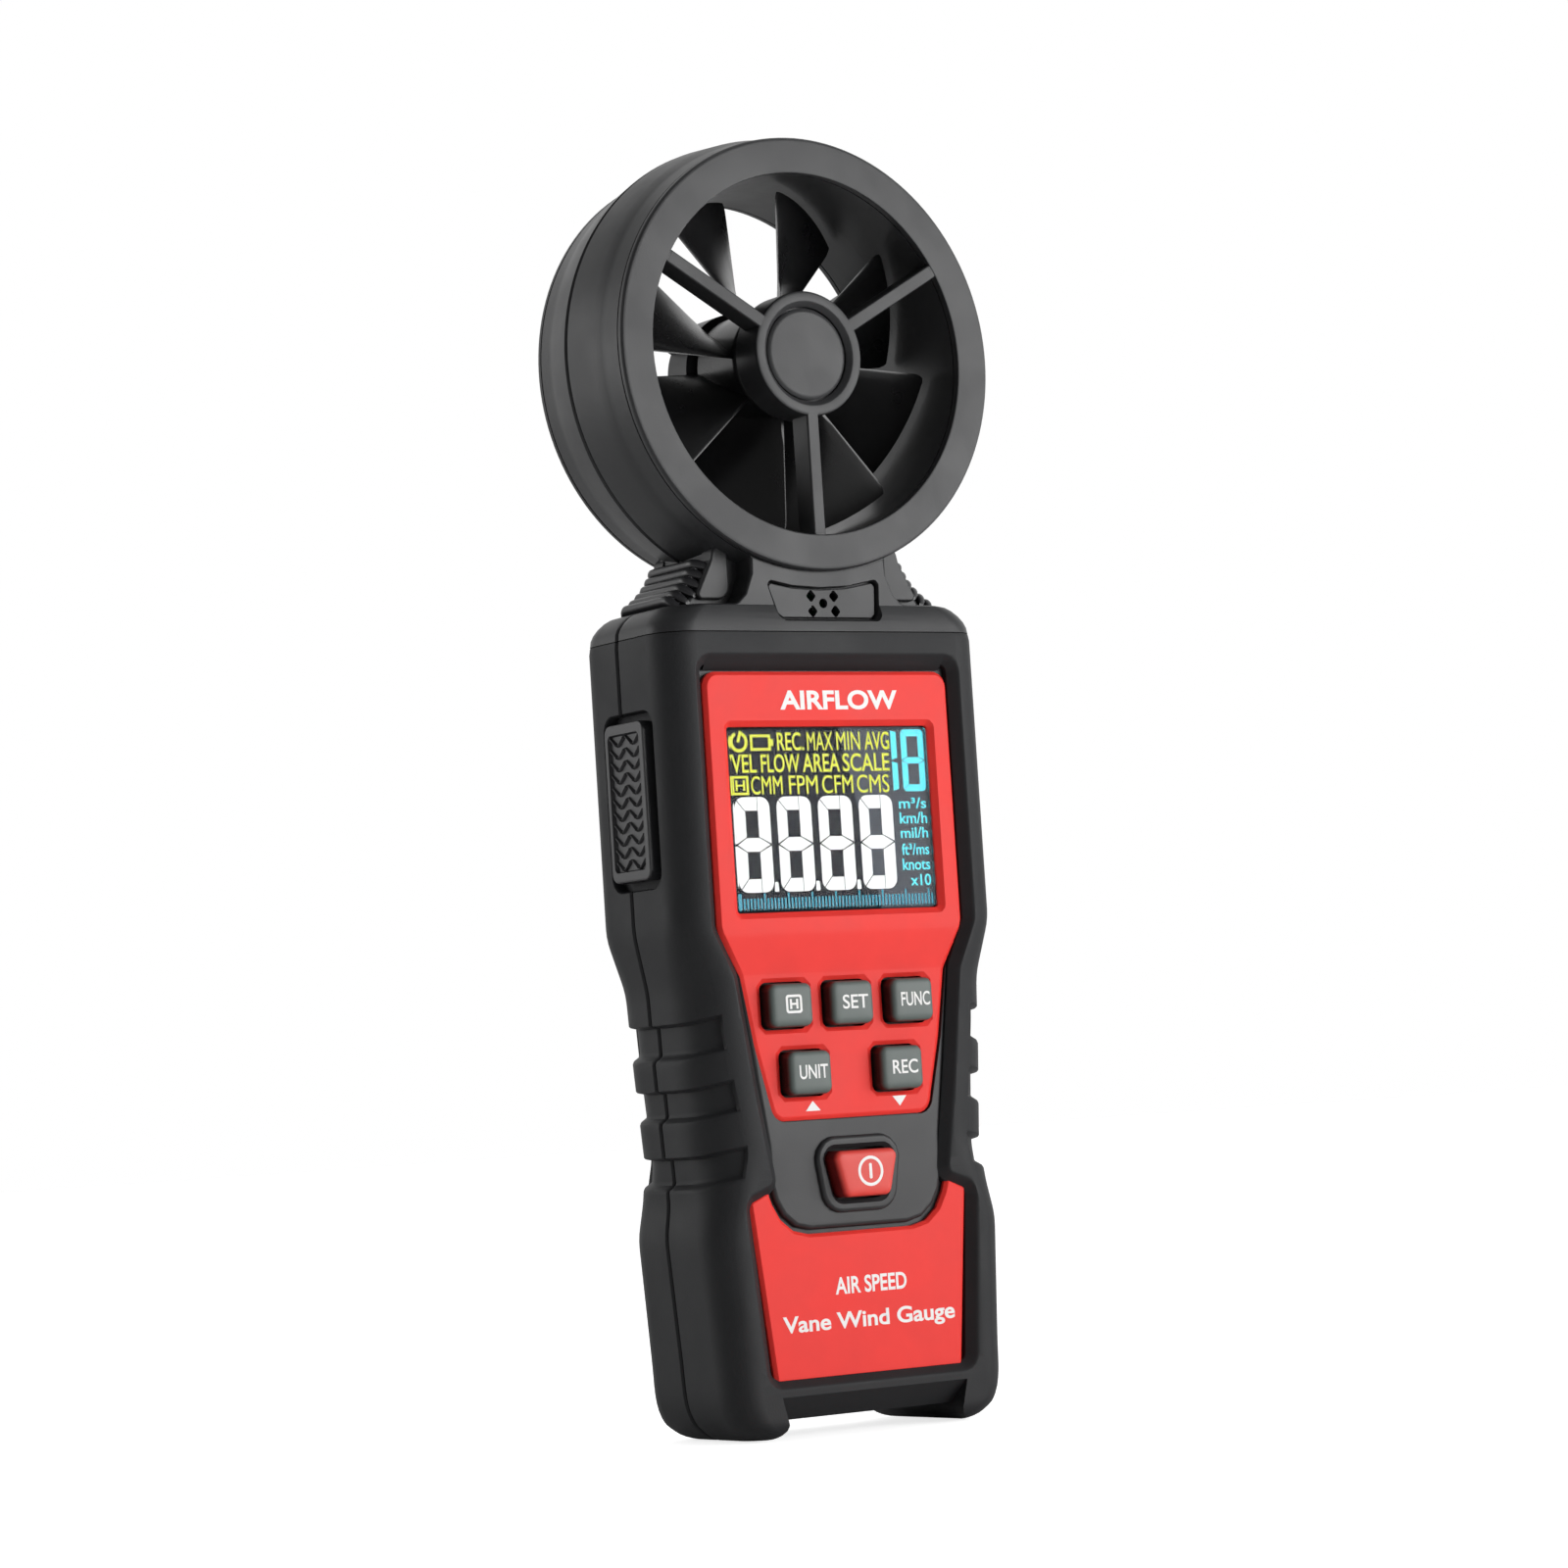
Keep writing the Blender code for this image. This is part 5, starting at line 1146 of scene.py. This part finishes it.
# ---- Inside parts -------------------------------------------------------------------------
# The parts inside keep the shapes that they were designed with: circuit boards, the keypad
# mat, the buzzer, the sensor bead, the display's holder, bearings, shaft and battery parts.
INSIDE = {
    "board_green": (moulded("green_board", (0.02, 0.16, 0.06), 0.35, fineness=500.0, relief=0.1, cloud=0.15),
                    ("circuit_board", "pickup_board")),
    "key_rubber": (moulded("grey_mat_rubber", (0.1, 0.11, 0.105), 0.6), ("keypad_mat",)),
    "steel": (moulded("polished_steel", (0.6, 0.6, 0.6), 0.22, relief=0.04, Metallic=1.0),
              ("front_bearing", "rear_bearing", "rotor_shaft", "thermistor")),
    "brass": (moulded("plated_brass", (0.65, 0.5, 0.25), 0.3, relief=0.05, Metallic=1.0),
              ("contact_minus", "contact_plus")),
    "black_plastic": (hard_plastic, ("battery_case", "buzzer")),
    "white_plastic": (moulded("white_holder_plastic", (0.75, 0.75, 0.73), 0.45), ("lcd_frame",)),
}
for material, nodes in INSIDE.values():
    for node in nodes:
        for place_for_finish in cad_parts[node].material_slots:
            place_for_finish.material = material

# ---- Studio -------------------------------------------------------------------------------
# The meter stands on a pale floor in a pale room, lit by a large soft lamp from the right and in front
# and a weaker one from the left and behind.
camera_azimuth, camera_elevation, camera_roll = (math.radians(a) for a in (-33.513, -4.129, -3.66))
back = Vector((math.sin(camera_azimuth) * math.cos(camera_elevation),
               -math.cos(camera_azimuth) * math.cos(camera_elevation), math.sin(camera_elevation)))
level = Vector((math.cos(camera_azimuth), math.sin(camera_azimuth), 0))
rise = back.cross(level)
right = level * math.cos(camera_roll) + rise * math.sin(camera_roll)
up = rise * math.cos(camera_roll) - level * math.sin(camera_roll)
camera = bpy.data.objects.new("camera", bpy.data.cameras.new("camera"))
camera.data.lens = 103.5
camera.data.clip_start = 0.01
aim = Vector((0, RIM / 1, 0.1054)) + level * -0.008672
camera.matrix_world = Matrix.Translation(aim + back * 0.73584) @ Matrix((right, up, back)).transposed().to_4x4()
bpy.context.scene.collection.objects.link(camera)
bpy.context.scene.camera = camera

studio_white = moulded("studio_white", (0.93, 0.93, 0.93), 0.8, fineness=200.0, relief=0.02, cloud=0.0)
floor_shape = bmesh.new()
bmesh.ops.create_grid(floor_shape, x_segments=2, y_segments=2, size=6.0)
floor = new_piece("studio_floor", floor_shape)
floor.data.transform(Matrix.Translation((0, 0, frame_floor := cad_box[0][2] - 0.0002)))
floor.data.materials.append(studio_white)


def lamp(name, place_at, target, width, height, power, colour=(1, 1, 1)):
    light = bpy.data.objects.new(name, bpy.data.lights.new(name, "AREA"))
    light.data.shape = "RECTANGLE"
    light.data.size, light.data.size_y = width, height
    light.data.energy = power
    light.data.color = colour
    facing = (Vector(place_at) - Vector(target)).to_track_quat("Z", "Y")
    light.matrix_world = Matrix.Translation(place_at) @ facing.to_matrix().to_4x4()
    bpy.context.scene.collection.objects.link(light)


lamp("right_front_softbox", (0.75, -1.05, 0.12), (0, 0, 0.1), 1.3, 1.0, 25)
lamp("left_back_softbox", (-0.95, 0.75, 0.2), (0, 0, 0.1), 0.6, 1.2, 6)
room = bpy.data.worlds.new("studio_room")
bpy.context.scene.world = room
room.use_nodes = True
tree = room.node_tree
facing = add_node(tree, "ShaderNodeVectorMath", {1: (0.55, 0.83, 0.05)}, operation="DOT_PRODUCT")
backdrop = add_node(tree, "ShaderNodeMapRange", {"From Min": -0.1, "From Max": 0.85, "To Min": 0.16, "To Max": 1.0})
whiter = add_node(tree, "ShaderNodeMix", {"B": 1.0})
for start, end in ((add_node(tree, "ShaderNodeTexCoord").outputs["Generated"], facing.inputs[0]),
                   (facing.outputs["Value"], backdrop.inputs["Value"]), (backdrop.outputs[0], whiter.inputs["A"]),
                   (add_node(tree, "ShaderNodeLightPath").outputs["Is Camera Ray"], whiter.inputs["Factor"]),
                   (whiter.outputs[0], tree.nodes["Background"].inputs["Color"])):
    tree.links.new(start, end)
shader = studio_white.node_tree.nodes["Principled BSDF"]
shader.inputs["Emission Color"].default_value = (1, 1, 1, 1)
seen = add_node(studio_white.node_tree, "ShaderNodeMath", {1: 0.75}, operation="MULTIPLY")
studio_white.node_tree.links.new(add_node(studio_white.node_tree, "ShaderNodeLightPath").outputs["Is Camera Ray"],
                                 seen.inputs[0])
studio_white.node_tree.links.new(seen.outputs[0], shader.inputs["Emission Strength"])
bpy.context.scene.view_settings.view_transform = "Standard"
